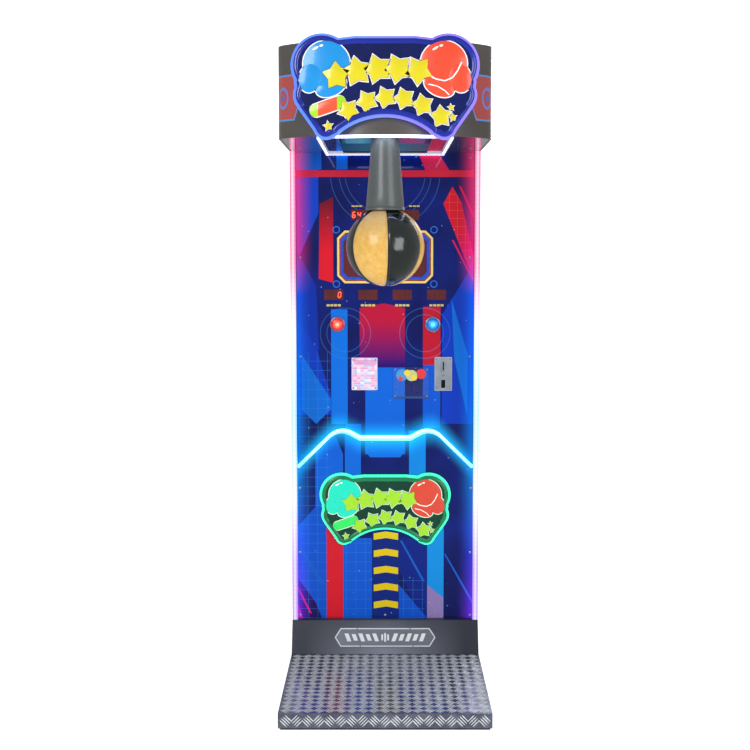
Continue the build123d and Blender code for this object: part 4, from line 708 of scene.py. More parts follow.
class PUNCH_OT_front(bpy.types.Operator):
    """Printed panels of the front under their clear glossy sheet"""
    bl_idname = "punch.front"
    bl_label = "Printed front"

    def execute(self, context):
        print_film = Finish("printed_front", coat_weight=1.0, coat_roughness=0.02, coat_ior=1.3,
                            specular_ior_level=0.1, emission_strength=1.0)
        x, y, z = print_film.axes()
        art = front_artwork(print_film, x, z)
        cut_edge = print_film.fade(print_film.facing(1), -0.75, -0.55)
        smears = print_film.noise(9.0, 6.0, 0.7)
        # light that the columns spill onto the panel beside them
        spill = print_film.fade(abs(x), 262.0, 334.0) ** 2.2
        hue = print_film.ramp(z, 172.0, 1922.0, (
            (0.0, ink(130, 40, 255)), (0.14, ink(60, 70, 255)), (0.30, ink(0, 150, 255)), (0.5, ink(0, 120, 255)),
            (0.70, ink(30, 100, 255)), (0.80, ink(255, 40, 130)), (1.0, ink(255, 60, 120))))
        # glow of the neon strip on the print above and below it
        crest = print_film.ramp(abs(x), 0.0, 332.0, tuple(
            (at / 332, (rise, rise, rise, 1.0)) for at, rise in (
                (0, 0.78), (95, 0.78), (130, 0.87), (160, 0.935), (186, 0.935), (214, 0.85), (332, 0.22))))
        above = z - (print_film.node("ShaderNodeSeparateXYZ", inputs={0: crest}) * 200.0 + 700.0)
        glow = print_film.fade(abs(above), 74.0, 4.0) ** 2.0
        # painted glow: the print, on a board with no lamp behind it, emits a dim copy of its own colours
        inner = print_film.mix(glow * 0.85, print_film.tint(art, 0.15), ink(20, 190, 255))
        lit = print_film.mix(spill * 0.8, inner, hue)
        raw_board = print_film.tint(ink(58, 44, 34), print_film.noise(60.0, 3.0) * 0.3 + 0.85)
        print_film.set("Emission Color", print_film.mix(cut_edge, lit, ink(0, 0, 0)))
        print_film.set("Base Color", print_film.mix(cut_edge, print_film.tint(art, 0.70), raw_board))
        print_film.set("Roughness", smears * 0.2 + 0.22)
        print_film.bump(print_film.noise(3.0, 2.0), 0.25, 0.3)
        dress(print_film, "upper_panel", "lower_cover")

        rim = Finish("printed_frame", coat_weight=0.8, coat_roughness=0.05)
        x, y, z = rim.axes()
        low, high = (corner * 1000 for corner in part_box("score_frame"))
        half_x, half_z = 180.0, 98.5
        mid_z = (low.z + high.z) / 2
        aside, rise = abs(x), abs(z - mid_z)
        corner = ((aside + rise) - (half_x + half_z - 28.0)) * 0.7071
        away = (aside - half_x).math("MAXIMUM", aside - half_x, rise - half_z)
        away = away.math("MAXIMUM", away, corner)
        steps = rim.ramp(away, -26.0, 2.0, (
            (0.0, ink(10, 66, 190)), (0.44, ink(10, 110, 214)), (0.45, ink(150, 24, 34)),
            (0.56, ink(150, 24, 34)), (0.57, ink(96, 54, 30)), (0.64, ink(232, 206, 110)),
            (0.92, ink(240, 224, 140)), (0.93, ink(14, 132, 200))))
        steps.socket.node.color_ramp.interpolation = "CONSTANT"
        ring = rim.disc(aside, rise, (182.0, 100.5), 15.0)
        rim.set("Base Color", rim.mix(ring, steps, ink(16, 98, 206)))
        rim.set("Roughness", rim.noise(40.0, 3.0) * 0.16 + 0.2)
        dress(rim, "score_frame")
        return {"FINISHED"}


# ------------------------------------------------------------------ displays and controls
SEGMENTS = {"0": "abcdef", "4": "bcfg", "6": "acdefg"}


class PUNCH_OT_displays(bpy.types.Operator):
    """Smoked windows, their lit digits and the small label bars"""
    bl_idname = "punch.displays"
    bl_label = "Displays"

    def execute(self, context):
        smoked = Finish("smoked_red", coat_weight=1.0, coat_roughness=0.04)
        x, y, z = smoked.axes()
        sheen = smoked.noise(16.0, 3.0)
        smoked.set("Base Color", smoked.mix(sheen, ink(58, 6, 14), ink(108, 14, 24)))
        smoked.set("Roughness", sheen * 0.12 + 0.14)
        dress(smoked, "display_windows")
        module = moulded("display_module", ink(26, 12, 16), 0.5)
        dress(module, "display_units")

        front_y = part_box("display_windows")[0].y
        lit, dark = bmesh.new(), bmesh.new()
        size = Vector((9.5, 20.0)) * MM

        def digit(middle_x, middle_z, symbol):
            half_x, half_z = size.x / 2, size.y / 2
            ends = {"a": ((-1, 1), (1, 1)), "b": ((1, 1), (1, 0)), "c": ((1, 0), (1, -1)),
                    "d": ((-1, -1), (1, -1)), "e": ((-1, -1), (-1, 0)), "f": ((-1, 0), (-1, 1)),
                    "g": ((-1, 0), (1, 0))}
            for name, (start, end) in ends.items():
                glow = name in SEGMENTS.get(symbol, "")
                points = [(middle_x + px * half_x + pz * 0.8 * MM, middle_z + pz * half_z)
                          for px, pz in (start, end)]
                near = [tuple(a + (b - a) * 0.14 for a, b in zip(p, q))
                        for p, q in (points, points[::-1])]
                bar(lit if glow else dark, near[0], near[1], (3.0 if glow else 2.2) * MM,
                    front_y, (0.35 if glow else 0.2) * MM, 0)

        upper_z, lower_z = 1.694, 1.395
        for middle in (-0.092, 0.092):
            for step, symbol in enumerate("64 " if middle < 0 else "   "):
                digit(middle + (step - 1) * 20 * MM - 5 * MM, upper_z, symbol)
        for middle in (-0.1935, -0.0645, 0.0645, 0.1935):
            for step, symbol in enumerate("  0" if middle < -0.1 else "   "):
                digit(middle + (step - 1) * 20 * MM + 2 * MM, lower_z, symbol)
        red = Finish("lit_digits", emission_strength=4.0)
        red.set("Emission Color", red.mix(red.noise(300.0, 2.0) * 0.3, ink(255, 46, 34), ink(255, 120, 90)))
        red.set("Base Color", ink(255, 60, 50))
        finished(lit, "display_digits", red, "root", smooth=20)
        off = Finish("unlit_segments", roughness=0.4)
        off.set("Base Color", off.tint(ink(84, 14, 22), off.noise(200.0, 2.0) * 0.3 + 0.8))
        finished(dark, "display_unlit_segments", off, "root", smooth=20)

        bm = bmesh.new()
        labels = [(-0.1055, 1.7265, 3), (0.1095, 1.7265, 3)] + [
            (x_mid, 1.3555, 4) for x_mid in (-0.1935, -0.0645, 0.0645, 0.1935)]
        panel_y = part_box("upper_panel")[0].y
        for middle_x, middle_z, blocks in labels:
            for step in range(blocks):
                left = middle_x + (step - blocks / 2) * 14 * MM
                tall = 5.0 * MM if middle_z > 1.6 else 8.0 * MM
                bar(bm, (left + 1.2 * MM, middle_z), (left + 12.5 * MM, middle_z), tall, panel_y, 0.25 * MM, 0)
        yellow = Finish("label_yellow", roughness=0.4)
        yellow.set("Base Color", yellow.tint(ink(214, 190, 96), yellow.noise(500.0, 2.0) * 0.3 + 0.8))
        finished(bm, "display_labels", yellow, "root", smooth=20)
        return {"FINISHED"}


class PUNCH_OT_controls(bpy.types.Operator):
    """Lit buttons, coin plate, reject button and the small front plates"""
    bl_idname = "punch.controls"
    bl_label = "Controls"

    def execute(self, context):
        light = context.scene.punch_machine.light
        for name, node, rim, core in (
                ("red_dome", "button_left", ink(214, 14, 26), ink(255, 176, 130)),
                ("blue_dome", "button_right", ink(0, 92, 200), ink(90, 240, 255))):
            low, high = (corner * 1000 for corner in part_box(node))
            middle = (low + high) / 2
            dome = Finish(name, coat_weight=1.0, coat_roughness=0.05, emission_strength=light.button)
            x, y, z = dome.axes()
            aside, rise = x - middle.x, z - middle.z
            away = (aside * aside + rise * rise) ** 0.5
            ribs = dome.noise(160.0, 2.0)
            glow = dome.fade(away + ribs * 6.0, 24.0, 3.0)
            colour = dome.mix(glow * glow, rim, core)
            dome.set("Base Color", colour)
            dome.set("Emission Color", dome.tint(colour, glow * 0.75 + 0.2))
            dome.set("Roughness", ribs * 0.1 + 0.12)
            dome.bump(ribs, 0.3, 0.4)
            dress(dome, node)
        bezel = Finish("clear_bezel", coat_weight=1.0, coat_roughness=0.05, metallic=0.6)
        x, y, z = bezel.axes()
        # painted glow: the clear bezel is painted pink on the left round the red button and blue on the right round the
        # blue button, standing in for the buttons' light
        side = bezel.fade(x, -1.0, 1.0)
        bezel.set("Base Color", bezel.mix(side, ink(190, 120, 136), ink(110, 170, 206)))
        bezel.set("Roughness", bezel.noise(90.0, 3.0) * 0.15 + 0.1)
        dress(bezel, "button_bezels")
        plastic = moulded("black_plastic", ink(24, 24, 26), 0.45)
        dress(plastic, "button_fittings", "coin_acceptor", "power_inlet", "speakers", "fan_housing", "fan_rotor")

        zinc = Finish("cast_zinc", metallic=0.75, coat_weight=0.2)
        x, y, z = zinc.axes()
        low, high = (corner * 1000 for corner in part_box("coin_plate"))
        cloud = zinc.noise(30.0, 5.0)
        worn = zinc.fade(zinc.noise(70.0, 5.0, 0.7), 0.55, 0.7)
        edge = 1.0 - zinc.polygon(x, z, [(low.x + 2.5, low.z + 2.5), (high.x - 2.5, low.z + 2.5),
                                         (high.x - 2.5, high.z - 2.5), (low.x + 2.5, high.z - 2.5)])
        metal = zinc.mix(cloud, ink(158, 170, 186), ink(196, 206, 216))
        metal = zinc.mix(edge * 0.6, metal, ink(226, 232, 240))
        zinc.set("Base Color", zinc.mix(worn * 0.3, metal, ink(120, 132, 150)))
        zinc.set("Roughness", cloud * 0.2 + worn * 0.12 + 0.24)
        zinc.bump(zinc.noise(700.0, 3.0), 0.04, 0.6)
        dress(zinc, "coin_plate")
        chrome = bare_metal("chrome_trim", ink(226, 230, 236), 0.18)
        dress(chrome, "front_screws", "reject_button", "lock_barrel", "lock_cam")
        galvanised = bare_metal("galvanised_sheet", ink(172, 178, 186), 0.42, grain=60.0)
        dress(galvanised, "cash_box", "coin_chute")
        circuit = Finish("circuit_parts", roughness=0.5)
        cells = circuit.cells(70.0, "Color")
        pick = circuit.node("ShaderNodeSeparateXYZ", inputs={0: cells})
        circuit.set("Base Color", circuit.mix(pick > 0.72, ink(20, 74, 48), ink(150, 152, 156)))
        circuit.bump(pick, 0.8, 0.5)
        dress(circuit, "cabinet_electronics")

        plates = Finish("printed_plate", coat_weight=0.6, coat_roughness=0.08)
        x, y, z = plates.axes()
        art = plates.tint(front_artwork(plates, x, z), 0.75)
        metal_edge = 1.0 - (plates.polygon(x, z, [(-125, 1036), (-31, 1036), (-31, 1156), (-125, 1156)])
                            | plates.polygon(x, z, [(33, 1006), (163, 1006), (163, 1119), (33, 1119)]))
        left = x < -20.0
        blocks = plates.node("ShaderNodeTexWhiteNoise", {"noise_dimensions": "2D"}, {
            "Vector": plates.node("ShaderNodeCombineXYZ", inputs={
                0: (x * 0.075).math("FLOOR", x * 0.075), 1: (z * 0.105).math("FLOOR", z * 0.105)})}, "Value")
        card = plates.ramp(blocks, 0.0, 1.0, (
            (0.0, ink(250, 214, 232)), (0.3, ink(236, 150, 190)), (0.55, ink(214, 190, 236)),
            (0.75, ink(250, 240, 246)), (0.9, ink(178, 196, 236))))
        rows = (z % 9.5) < 1.4
        card = plates.mix(rows & 0.7, card, ink(252, 236, 246))
        card = plates.mix(plates.polygon(x, z, [(-120, 1130), (-36, 1130), (-36, 1150), (-120, 1150)]) & 0.8,
                          card, ink(214, 150, 196))
        sticker = art
        for middle, radius, shade in (((64, 1092), 22, ink(60, 150, 210)), ((136, 1096), 19, ink(220, 50, 60)),
                                      ((100, 1090), 21, ink(190, 196, 140)), ((84, 1100), 12, ink(232, 206, 60)),
                                      ((110, 1082), 11, ink(232, 206, 60)), ((58, 1078), 9, ink(210, 60, 60))):
            sticker = plates.mix(plates.disc(x, z, middle, radius), sticker, shade)
        face = plates.mix(left, sticker, card)
        ledge = (z < 1010.0) & (x > 20.0)
        face = plates.mix(ledge, face, ink(40, 80, 140))
        plates.set("Base Color", plates.mix(metal_edge & left, face, ink(206, 212, 222)))
        plates.set("Roughness", plates.noise(90.0, 3.0) * 0.15 + 0.22)
        dress(plates, "front_plates")
        return {"FINISHED"}


# ------------------------------------------------------------------ lights of the machine
class PUNCH_OT_lights(bpy.types.Operator):
    """Light columns, neon strip and the light frame under the head"""
    bl_idname = "punch.lights"
    bl_label = "Machine lights"

    def execute(self, context):
        light = context.scene.punch_machine.light
        top, middle, foot = (tuple(colour) + (1.0,) for colour in (light.top, light.middle, light.foot))
        white = (1.0, 1.0, 1.0, 1.0)
        low, high = (corner * 1000 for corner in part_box("column_lenses"))
        column = Finish("lit_column", emission_strength=light.column, roughness=0.25, coat_weight=0.5)
        x, y, z = column.axes()
        tone = column.ramp(z, low.z, high.z, (
            (0.0, foot), (0.12, foot), (0.26, ink(225, 230, 255)), (0.44, middle),
            (0.62, ink(225, 245, 255)), (0.76, top), (1.0, top)))
        core = column.fade(abs(abs(x) - (high.x - 10.5)), 7.0, 2.0)
        beads = column.fade(z % 16.6, 0.0, 8.3)
        column.set("Emission Color", column.mix(core * 0.55, tone, white))
        column.set("Base Color", column.mix(beads * 0.3, ink(96, 98, 128), ink(150, 150, 176)))
        column.set("Roughness", column.noise(80.0, 2.0) * 0.1 + 0.2)
        dress(column, "column_lenses")
        channel = bare_metal("satin_aluminium", ink(206, 210, 216), 0.34, (1.0, 1.0, 0.05))
        dress(channel, "column_channels", "sign_standoffs")

        neon = Finish("lit_neon", emission_strength=light.neon, roughness=0.35)
        x, y, z = neon.axes()
        neon.set("Emission Color", neon.mix(neon.noise(9.0, 2.0) * 0.4, ink(70, 200, 255), ink(150, 232, 255)))
        neon.set("Base Color", neon.tint(ink(225, 245, 255), neon.noise(60.0, 2.0) * 0.1 + 0.9))
        dress(neon, "neon_strip")

        ceiling = Finish("lit_ceiling", emission_strength=light.ceiling, roughness=0.4)
        x, y, z = ceiling.axes()
        glass = ceiling.mix(ceiling.noise(4.0, 2.0), ink(226, 190, 255), ink(190, 240, 255))
        side_line = abs(x).near(214.0, 2.6) & (y < 118.0)
        rear_line = y.near(124.0, 3.2)
        front_bar = y < -515.0
        ceiling.set("Emission Color", ceiling.mix(side_line | rear_line | front_bar,
                                                  ceiling.tint(glass, 0.03), glass))
        ceiling.set("Base Color", ceiling.tint(ink(240, 240, 250), ceiling.noise(60.0, 2.0) * 0.1 + 0.9))
        dress(ceiling, "ceiling_light")
        mirror = Finish("mirror_ceiling", metallic=0.9)
        swirl = mirror.noise(4.0, 3.0)
        mirror.set("Base Color", mirror.mix(swirl, ink(120, 132, 150), ink(170, 180, 196)))
        mirror.set("Roughness", swirl * 0.05 + 0.02)
        mirror.bump(swirl, 1.2, 0.4)
        dress(mirror, "ceiling_panel")
        return {"FINISHED"}


# ------------------------------------------------------------------ head
class PUNCH_OT_head(bpy.types.Operator):
    """Curved band of the head with its side decals, and the hardware inside"""
    bl_idname = "punch.head"
    bl_label = "Head"

    def execute(self, context):
        band = Finish("band_laminate", coat_weight=0.35, coat_roughness=0.22)
        x, y, z = band.axes()
        low, high = (corner * 1000 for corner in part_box("marquee_band"))
        tone = band.noise(5.0, 5.0)
        colour = band.mix(tone, ink(58, 54, 50), ink(86, 82, 76))
        along, rise = (abs(x) + y) + 96.0, abs(z - (low.z + 128.0))
        slant = abs(along) + rise * 0.55
        outer = (slant < 112.0) & (rise < 74.0)
        inner = (slant < 106.0) & (rise < 68.5)
        away = (along * along + rise * rise) ** 0.5
        colour = band.mix(outer & 0.9, colour, ink(70, 140, 200))
        colour = band.mix(inner, colour, band.mix(tone, ink(150, 58, 58), ink(176, 78, 72)))
        colour = band.mix(inner & away.near(31.0, 4.5), colour, ink(92, 120, 190))
        colour = band.mix(inner & (away < 13.0), colour, ink(104, 90, 140))
        band.set("Base Color", colour)
        band.set("Roughness", band.noise(30.0, 4.0) * 0.14 + 0.3)
        band.bump(band.noise(1000.0, 2.0), 0.03, 0.5)
        dress(band, "marquee_band")
        dress(bare_metal("bright_steel", ink(200, 203, 208), 0.26), "pivot_shaft", "swing_arm", "armature_lever")
        dress(painted_metal("cast_housing", ink(70, 84, 96), 0.45, 260.0, 0.2), "bearing_blocks")
        dress(bare_metal("magnet_steel", ink(140, 143, 150), 0.3), "hold_magnet")
        return {"FINISHED"}


def front_face(node, y):
    """A bmesh with the outline faces of a node that lie at y and face the front, each one merged."""
    bm = bmesh.new()
    bm.from_mesh(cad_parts[node].data)
    bmesh.ops.remove_doubles(bm, verts=bm.verts, dist=0.02 * MM)
    away = [face for face in bm.faces
            if face.normal.y > -0.99 or abs(face.calc_center_median().y - y) > 0.2 * MM]
    bmesh.ops.delete(bm, geom=away, context="FACES")
    bmesh.ops.dissolve_faces(bm, faces=bm.faces[:], use_verts=False)
    return bm


class PUNCH_OT_signs(bpy.types.Operator):
    """Head sign and lower sign: boards, rounded rims and the raised artwork"""
    bl_idname = "punch.signs"
    bl_label = "Signs"

    def execute(self, context):
        machine = context.scene.punch_machine
        made, light = machine.sign, machine.light
        board_low, board_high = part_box("sign_boards")
        art_low, art_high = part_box("sign_artwork")

        # two boards: the head's in front, the lower one behind; each plane is read from the mesh
        rows = [vert.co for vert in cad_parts["sign_boards"].data.vertices]
        signs = []
        for is_top in (True, False):
            part = [co for co in rows if (co.z > 1.2) == is_top]
            lowest = min(co.z for co in part)
            highest = max(co.z for co in part)
            widest = max(co.x for co in part)
            plane = min(co.y for co in part)
            scale = widest * 2 / (board_high.x * 2)
            signs.append((plane, (lowest, highest), scale))

        edge = Finish("lit_sign_edge", emission_strength=light.halo, roughness=0.3)
        x, y, z = edge.axes()
        top_tone = edge.ramp(x, -296.0, 296.0, (
            (0.0, ink(40, 110, 255)), (0.35, ink(90, 130, 255)), (0.7, ink(130, 90, 255)), (1.0, ink(150, 110, 255))))
        low_tone = edge.mix(edge.noise(6.0, 2.0), ink(0, 235, 100), ink(10, 255, 170))
        edge.set("Emission Color", edge.mix(z < 1200.0, top_tone, edge.tint(low_tone, 1.5)))
        edge.set("Base Color", edge.tint(ink(90, 110, 190), edge.noise(60.0, 2.0) * 0.1 + 0.9))
        dress(edge, "sign_backplates")

        board = Finish("sign_board", coat_weight=0.4, coat_roughness=0.12, specular_ior_level=0.25)
        x, y, z = board.axes()
        sky = board.noise(7.0, 3.0)
        night = board.mix(sky, ink(1, 10, 48), ink(3, 26, 104))
        glen = board.mix(sky, ink(4, 46, 40), ink(10, 84, 52))
        board.set("Base Color", board.mix(z < 1200.0, night, glen))
        board.set("Roughness", board.noise(40.0, 3.0) * 0.12 + 0.2)
        dress(board, "sign_boards")

        rim = Finish("sign_rim", coat_weight=1.0, coat_roughness=0.06, coat_ior=1.4, emission_strength=0.10)
        x, y, z = rim.axes()
        lower = z < 1200.0
        shine = rim.noise(5.0, 3.0)
        blue = rim.mix(shine, ink(0, 18, 112), ink(4, 40, 168))
        green = rim.mix(shine, ink(6, 92, 60), ink(20, 140, 84))
        colour = rim.mix(lower, blue, green)
        rim.set("Base Color", colour)
        # painted glow: the rim vinyl emits a dim copy of its blue, and a brighter copy of its green on the lower sign
        rim.set("Emission Color", rim.mix(lower, rim.tint(blue, 0.4), rim.tint(green, 1.0)))
        rim.set("Roughness", shine * 0.1 + 0.16)
        rims = bmesh.new()
        for plane, span, scale in signs:
            bm = front_face("sign_boards", plane)
            profile = ((0.5, 0.0), (0.10, 0.55), (0.16, 0.32), (0.24, 0.13), (0.24, -0.13), (0.16, -0.32), (0.10, -0.55))
            for index, (share, lift) in enumerate(profile):
                step = (0.6 * MM if index == 0 else share * made.rim * scale)
                bmesh.ops.inset_region(bm, faces=bm.faces[:] if index == 0 else core, thickness=step,
                                       depth=lift * made.rim_height * scale, use_even_offset=False,
                                       use_boundary=True)
                core = [max(bm.faces, key=lambda face: face.calc_area())]
            bmesh.ops.delete(bm, geom=core, context="FACES_ONLY")
            bmesh.ops.translate(bm, vec=(0, -0.05 * MM, 0), verts=bm.verts)
            mesh = bpy.data.meshes.new("rim_part")
            bm.to_mesh(mesh)
            bm.free()
            rims.from_mesh(mesh)
            bpy.data.meshes.remove(mesh)
        finished(rims, "sign_rims", rim, "root", smooth=50)

        layers = {name: bmesh.new() for name in ("outlines", "stars", "left_gloves", "right_gloves", "bands", "strokes")}
        for (plane, (lowest, highest), scale) in signs:
            height = (highest - lowest) + 18 * MM * scale
            base = lowest - 9 * MM * scale
            unit = scale * MM
            glove_x, glove_z = 0.315 * 592 * unit, base + 0.70 * height

            def put(layer, kind, *where, depth, edge_width, grow=made.outline, **more):
                """The raised shape and the white plate that shows round it."""
                if kind == "oval":
                    middle, size = where
                    oval(layers[layer], middle, size, plane, depth * unit, edge_width * unit, **more)
                    oval(layers["outlines"], middle, (size[0] + grow * scale, size[1] + grow * scale),
                         plane, 2.4 * unit, 0, **more)
                else:
                    start, end, width = where
                    capsule(layers[layer], start, end, width, plane, depth * unit, edge_width * unit)
                    capsule(layers["outlines"], start, end, width + 2 * grow * scale, plane, 2.4 * unit, 0)

            for side, layer in ((-1, "left_gloves"), (1, "right_gloves")):
                middle = (side * glove_x, glove_z)
                put(layer, "oval", (middle[0] - side * 4 * unit, middle[1] + 2 * unit), (73 * unit, 71 * unit),
                    depth=4.6, edge_width=2.0, sides=56)
                put(layer, "oval", (middle[0] + side * 48 * unit, middle[1] - 42 * unit), (34 * unit, 44 * unit),
                    depth=5.6, edge_width=2.2, turn=side * 12)
                put(layer, "oval", (middle[0] - side * 18 * unit, middle[1] - 66 * unit), (50 * unit, 30 * unit),
                    depth=3.8, edge_width=1.6, turn=-side * 24)
                # highlights and folds
                for spot, long, turn in (((-30, 50), 11, 30), ((-12, 58), 6, 16)):
                    oval(layers["strokes"], (middle[0] + spot[0] * unit, middle[1] + spot[1] * unit),
                         (long * unit, 3.2 * unit), plane, 5.4 * unit, 0.3 * unit, turn=turn, sides=20)
                if side > 0:
                    fold = ((-56, -28), (-30, -44), (0, -50), (24, -40), (40, -18), (52, 8))
                    for start, end in zip(fold, fold[1:]):
                        capsule(layers["strokes"], (middle[0] + start[0] * unit, middle[1] + start[1] * unit),
                                (middle[0] + end[0] * unit, middle[1] + end[1] * unit), 4.2 * unit, plane,
                                6.1 * unit, 0.3 * unit)
                    cuff = ((-52, -60), (-24, -66), (0, -80), (14, -94))
                    for start, end in zip(cuff, cuff[1:]):
                        capsule(layers["strokes"], (middle[0] + start[0] * unit, middle[1] + start[1] * unit),
                                (middle[0] + end[0] * unit, middle[1] + end[1] * unit), 3.4 * unit, plane,
                                5.7 * unit, 0.3 * unit)
            for step in range(-2, 3):
                middle = ((step * 64 - 24) * unit, base + height * (0.66 - 0.010 * step ** 2 + 0.012 * step))
                put("stars", "oval", middle, (46 * unit, 46 * unit), depth=7.6, edge_width=1.2,
                    grow=5.5 * MM, sides=10, waist=0.62, turn=90 + step * 7)
            for step in range(-3, 3):
                across = step + 0.5
                middle = ((across * 58 + 30) * unit, base + height * (0.395 - 0.024 * across ** 2 - 0.012 * across))
                put("stars", "oval", middle, (34 * unit, 34 * unit), depth=7.2, edge_width=1.0,
                    grow=5 * MM, sides=10, waist=0.62, turn=90 - step * 6)
            for x_mid, z_mid, size in ((-178, 0.125, 16), (206, 0.30, 11), (212, 0.205, 13)):
                put("stars", "oval", (x_mid * unit, base + z_mid * height), (size * unit, size * unit),
                    depth=4.0, edge_width=0.6, sides=10, waist=0.5, turn=80)
            put("bands", "capsule", (-236 * unit, base + 0.25 * height), (-122 * unit, base + 0.37 * height),
                40 * unit, depth=4.4, edge_width=2.0)

        def sided(name, top_colour, low_colour, painted_shade_wall_colour, glow):
            """Vinyl of raised work: its own colour in front and painted shade on its walls; the lower sign is lit
            green.
            """
            vinyl = Finish(name, coat_weight=0.6, coat_roughness=0.1, emission_strength=glow)
            x, y, z = vinyl.axes()
            lower = z < 1200.0
            colour = vinyl.mix(lower, top_colour, low_colour)
            # painted shade: walls that do not face the front get a darker colour
            wall = vinyl.fade(vinyl.facing(1), -0.72, -0.5)
            colour = vinyl.mix(wall, vinyl.tint(colour, vinyl.noise(60.0, 3.0) * 0.12 + 0.94), painted_shade_wall_colour)
            vinyl.set("Base Color", colour)
            # painted glow: the vinyl emits a quarter of its colour on the head sign and all of it on the lower sign
            vinyl.set("Emission Color", vinyl.mix(lower, vinyl.tint(colour, 0.25), colour))
            vinyl.set("Roughness", vinyl.noise(50.0, 2.0) * 0.12 + 0.24)
            return vinyl, x, z

        stars, x, z = sided("sign_yellow", ink(216, 202, 6), ink(160, 220, 30), ink(110, 70, 10), 0.08)
        finished(layers["stars"], "sign_stars", stars, "root", smooth=30)
        left, x, z = sided("glove_blue", ink(0, 140, 214), ink(0, 214, 182), ink(0, 60, 110), 0.2)
        finished(layers["left_gloves"], "sign_left_gloves", left, "root", smooth=30)
        right, x, z = sided("glove_red", ink(232, 70, 40), ink(206, 62, 40), ink(110, 24, 16), 0.2)
        finished(layers["right_gloves"], "sign_right_gloves", right, "root", smooth=30)
        white, x, z = sided("sign_white", ink(250, 250, 246), ink(206, 250, 214), ink(150, 150, 150), 0.25)
        finished(layers["outlines"], "sign_outlines", white, "root", smooth=30)
        strokes, x, z = sided("sign_strokes", ink(252, 252, 250), ink(250, 240, 225), ink(200, 200, 200), 0.3)
        finished(layers["strokes"], "sign_strokes", strokes, "root", smooth=30)
        bands, x, z = sided("band_capsule", ink(160, 214, 22), ink(40, 214, 90), ink(60, 90, 20), 0.3)
        middle_x = x.near(-180.0, 30.0)
        shader = bands.shader.inputs["Base Color"].links[0].from_socket
        bands.set("Base Color", bands.mix(middle_x & (z > 1200.0), Value(bands, shader), ink(232, 60, 44)))
        finished(layers["bands"], "sign_bands", bands, "root", ("sign_artwork",), smooth=30)
        return {"FINISHED"}


# ------------------------------------------------------------------ ball and sleeve
def leather(name, grain, relief):
    """Leather with its pebble grain, creases and handled shine."""
    hide = Finish(name, coat_weight=0.5, coat_roughness=0.16)
    pebbles = hide.cells(grain, "Distance", "SMOOTH_F1")
    creases = hide.noise(grain * 0.12, 6.0, 0.7)
    hide.bump(pebbles * 0.6 + creases * 0.8, relief, 0.5)
    return hide, pebbles, creases


class PUNCH_OT_ball(bpy.types.Operator):
    """Stuffed leather ball of six gores with its stitched seams"""
    bl_idname = "punch.ball"
    bl_label = "Ball"

    def execute(self, context):
        made = context.scene.punch_machine.ball
        low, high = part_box("punch_bag")
        radius = (high.x - low.x) / 2
        centre = Vector(((low.x + high.x) / 2, (low.y + high.y) / 2, low.z + radius))
        gore = 2 * math.pi / made.gores

        bm = bmesh.new()
        bmesh.ops.create_uvsphere(bm, u_segments=180, v_segments=100, radius=radius)
        for vert in bm.verts:
            flat = math.hypot(vert.co.x, vert.co.y)
            turn = math.atan2(vert.co.x, -vert.co.y) - made.seam_turn
            share = (turn / gore) % 1.0
            aside = min(share, 1.0 - share)
            away = aside * gore * flat
            groove = made.seam_depth * math.exp(-(away / made.seam_width) ** 2)
            flatter = made.flattening * (1 - 2 * aside) ** 2 * (flat / radius)
            dimple = 0.5 * MM * math.sin(turn * 9 + vert.co.z * 40) * math.sin(vert.co.z * 55 + turn * 4)
            fold = 1 - (groove + flatter + abs(dimple)) / radius
            vert.co *= fold
        bmesh.ops.translate(bm, vec=centre, verts=bm.verts)
        for vert in bm.verts:
            vert.co.z = min(vert.co.z, high.z)

        hide, pebbles, creases = leather("bag_leather", 520.0, 0.22)
        x, y, z = hide.axes()
        aside, ahead = x - centre.x * 1000, (centre.y * 1000) - y
        turn = aside.math("ARCTAN2", aside, ahead) - made.seam_turn
        share = (turn / gore) % 1.0
        index = (turn / (2 * gore)) % 1.0
        gold_side = index > 0.5
        flat = (aside * aside + ahead * ahead) ** 0.5
        to_seam = (0.5 - abs(share - 0.5)) * flat * gore
        seam = hide.fade(to_seam, 1.9, 0.7)
        stitch_row = to_seam.near(6.0, 0.55) & (((z + 3.0) % 7.0) < 4.2)
        gold = hide.mix(hide.fade(creases, 0.3, 0.7), ink(206, 156, 62), ink(226, 184, 98))
        # painted highlight: the gold gores are painted paler towards the top of the ball
        gold = hide.mix(hide.fade(z, 1590.0, 1690.0) * 0.5, gold, ink(222, 198, 160))
        black = hide.mix(creases, ink(8, 14, 14), ink(22, 34, 31))
        colour = hide.mix(gold_side, black, gold)
        colour = hide.mix(seam, colour, ink(30, 24, 14))
        colour = hide.mix(stitch_row, colour, hide.mix(gold_side, ink(70, 66, 56), ink(150, 112, 50)))
        hide.set("Base Color", colour)
        hide.set("Roughness", gold_side * 0.22 + 0.14)
        hide.set("Coat Weight", 0.9 - gold_side * 0.55)
        ball = finished(bm, "punch_ball", hide, "punch_arm", ("punch_bag",), smooth=180)
        smooth = ball.modifiers.new("Subdivision", "SUBSURF")
        smooth.levels = smooth.render_levels = 1
        return {"FINISHED"}


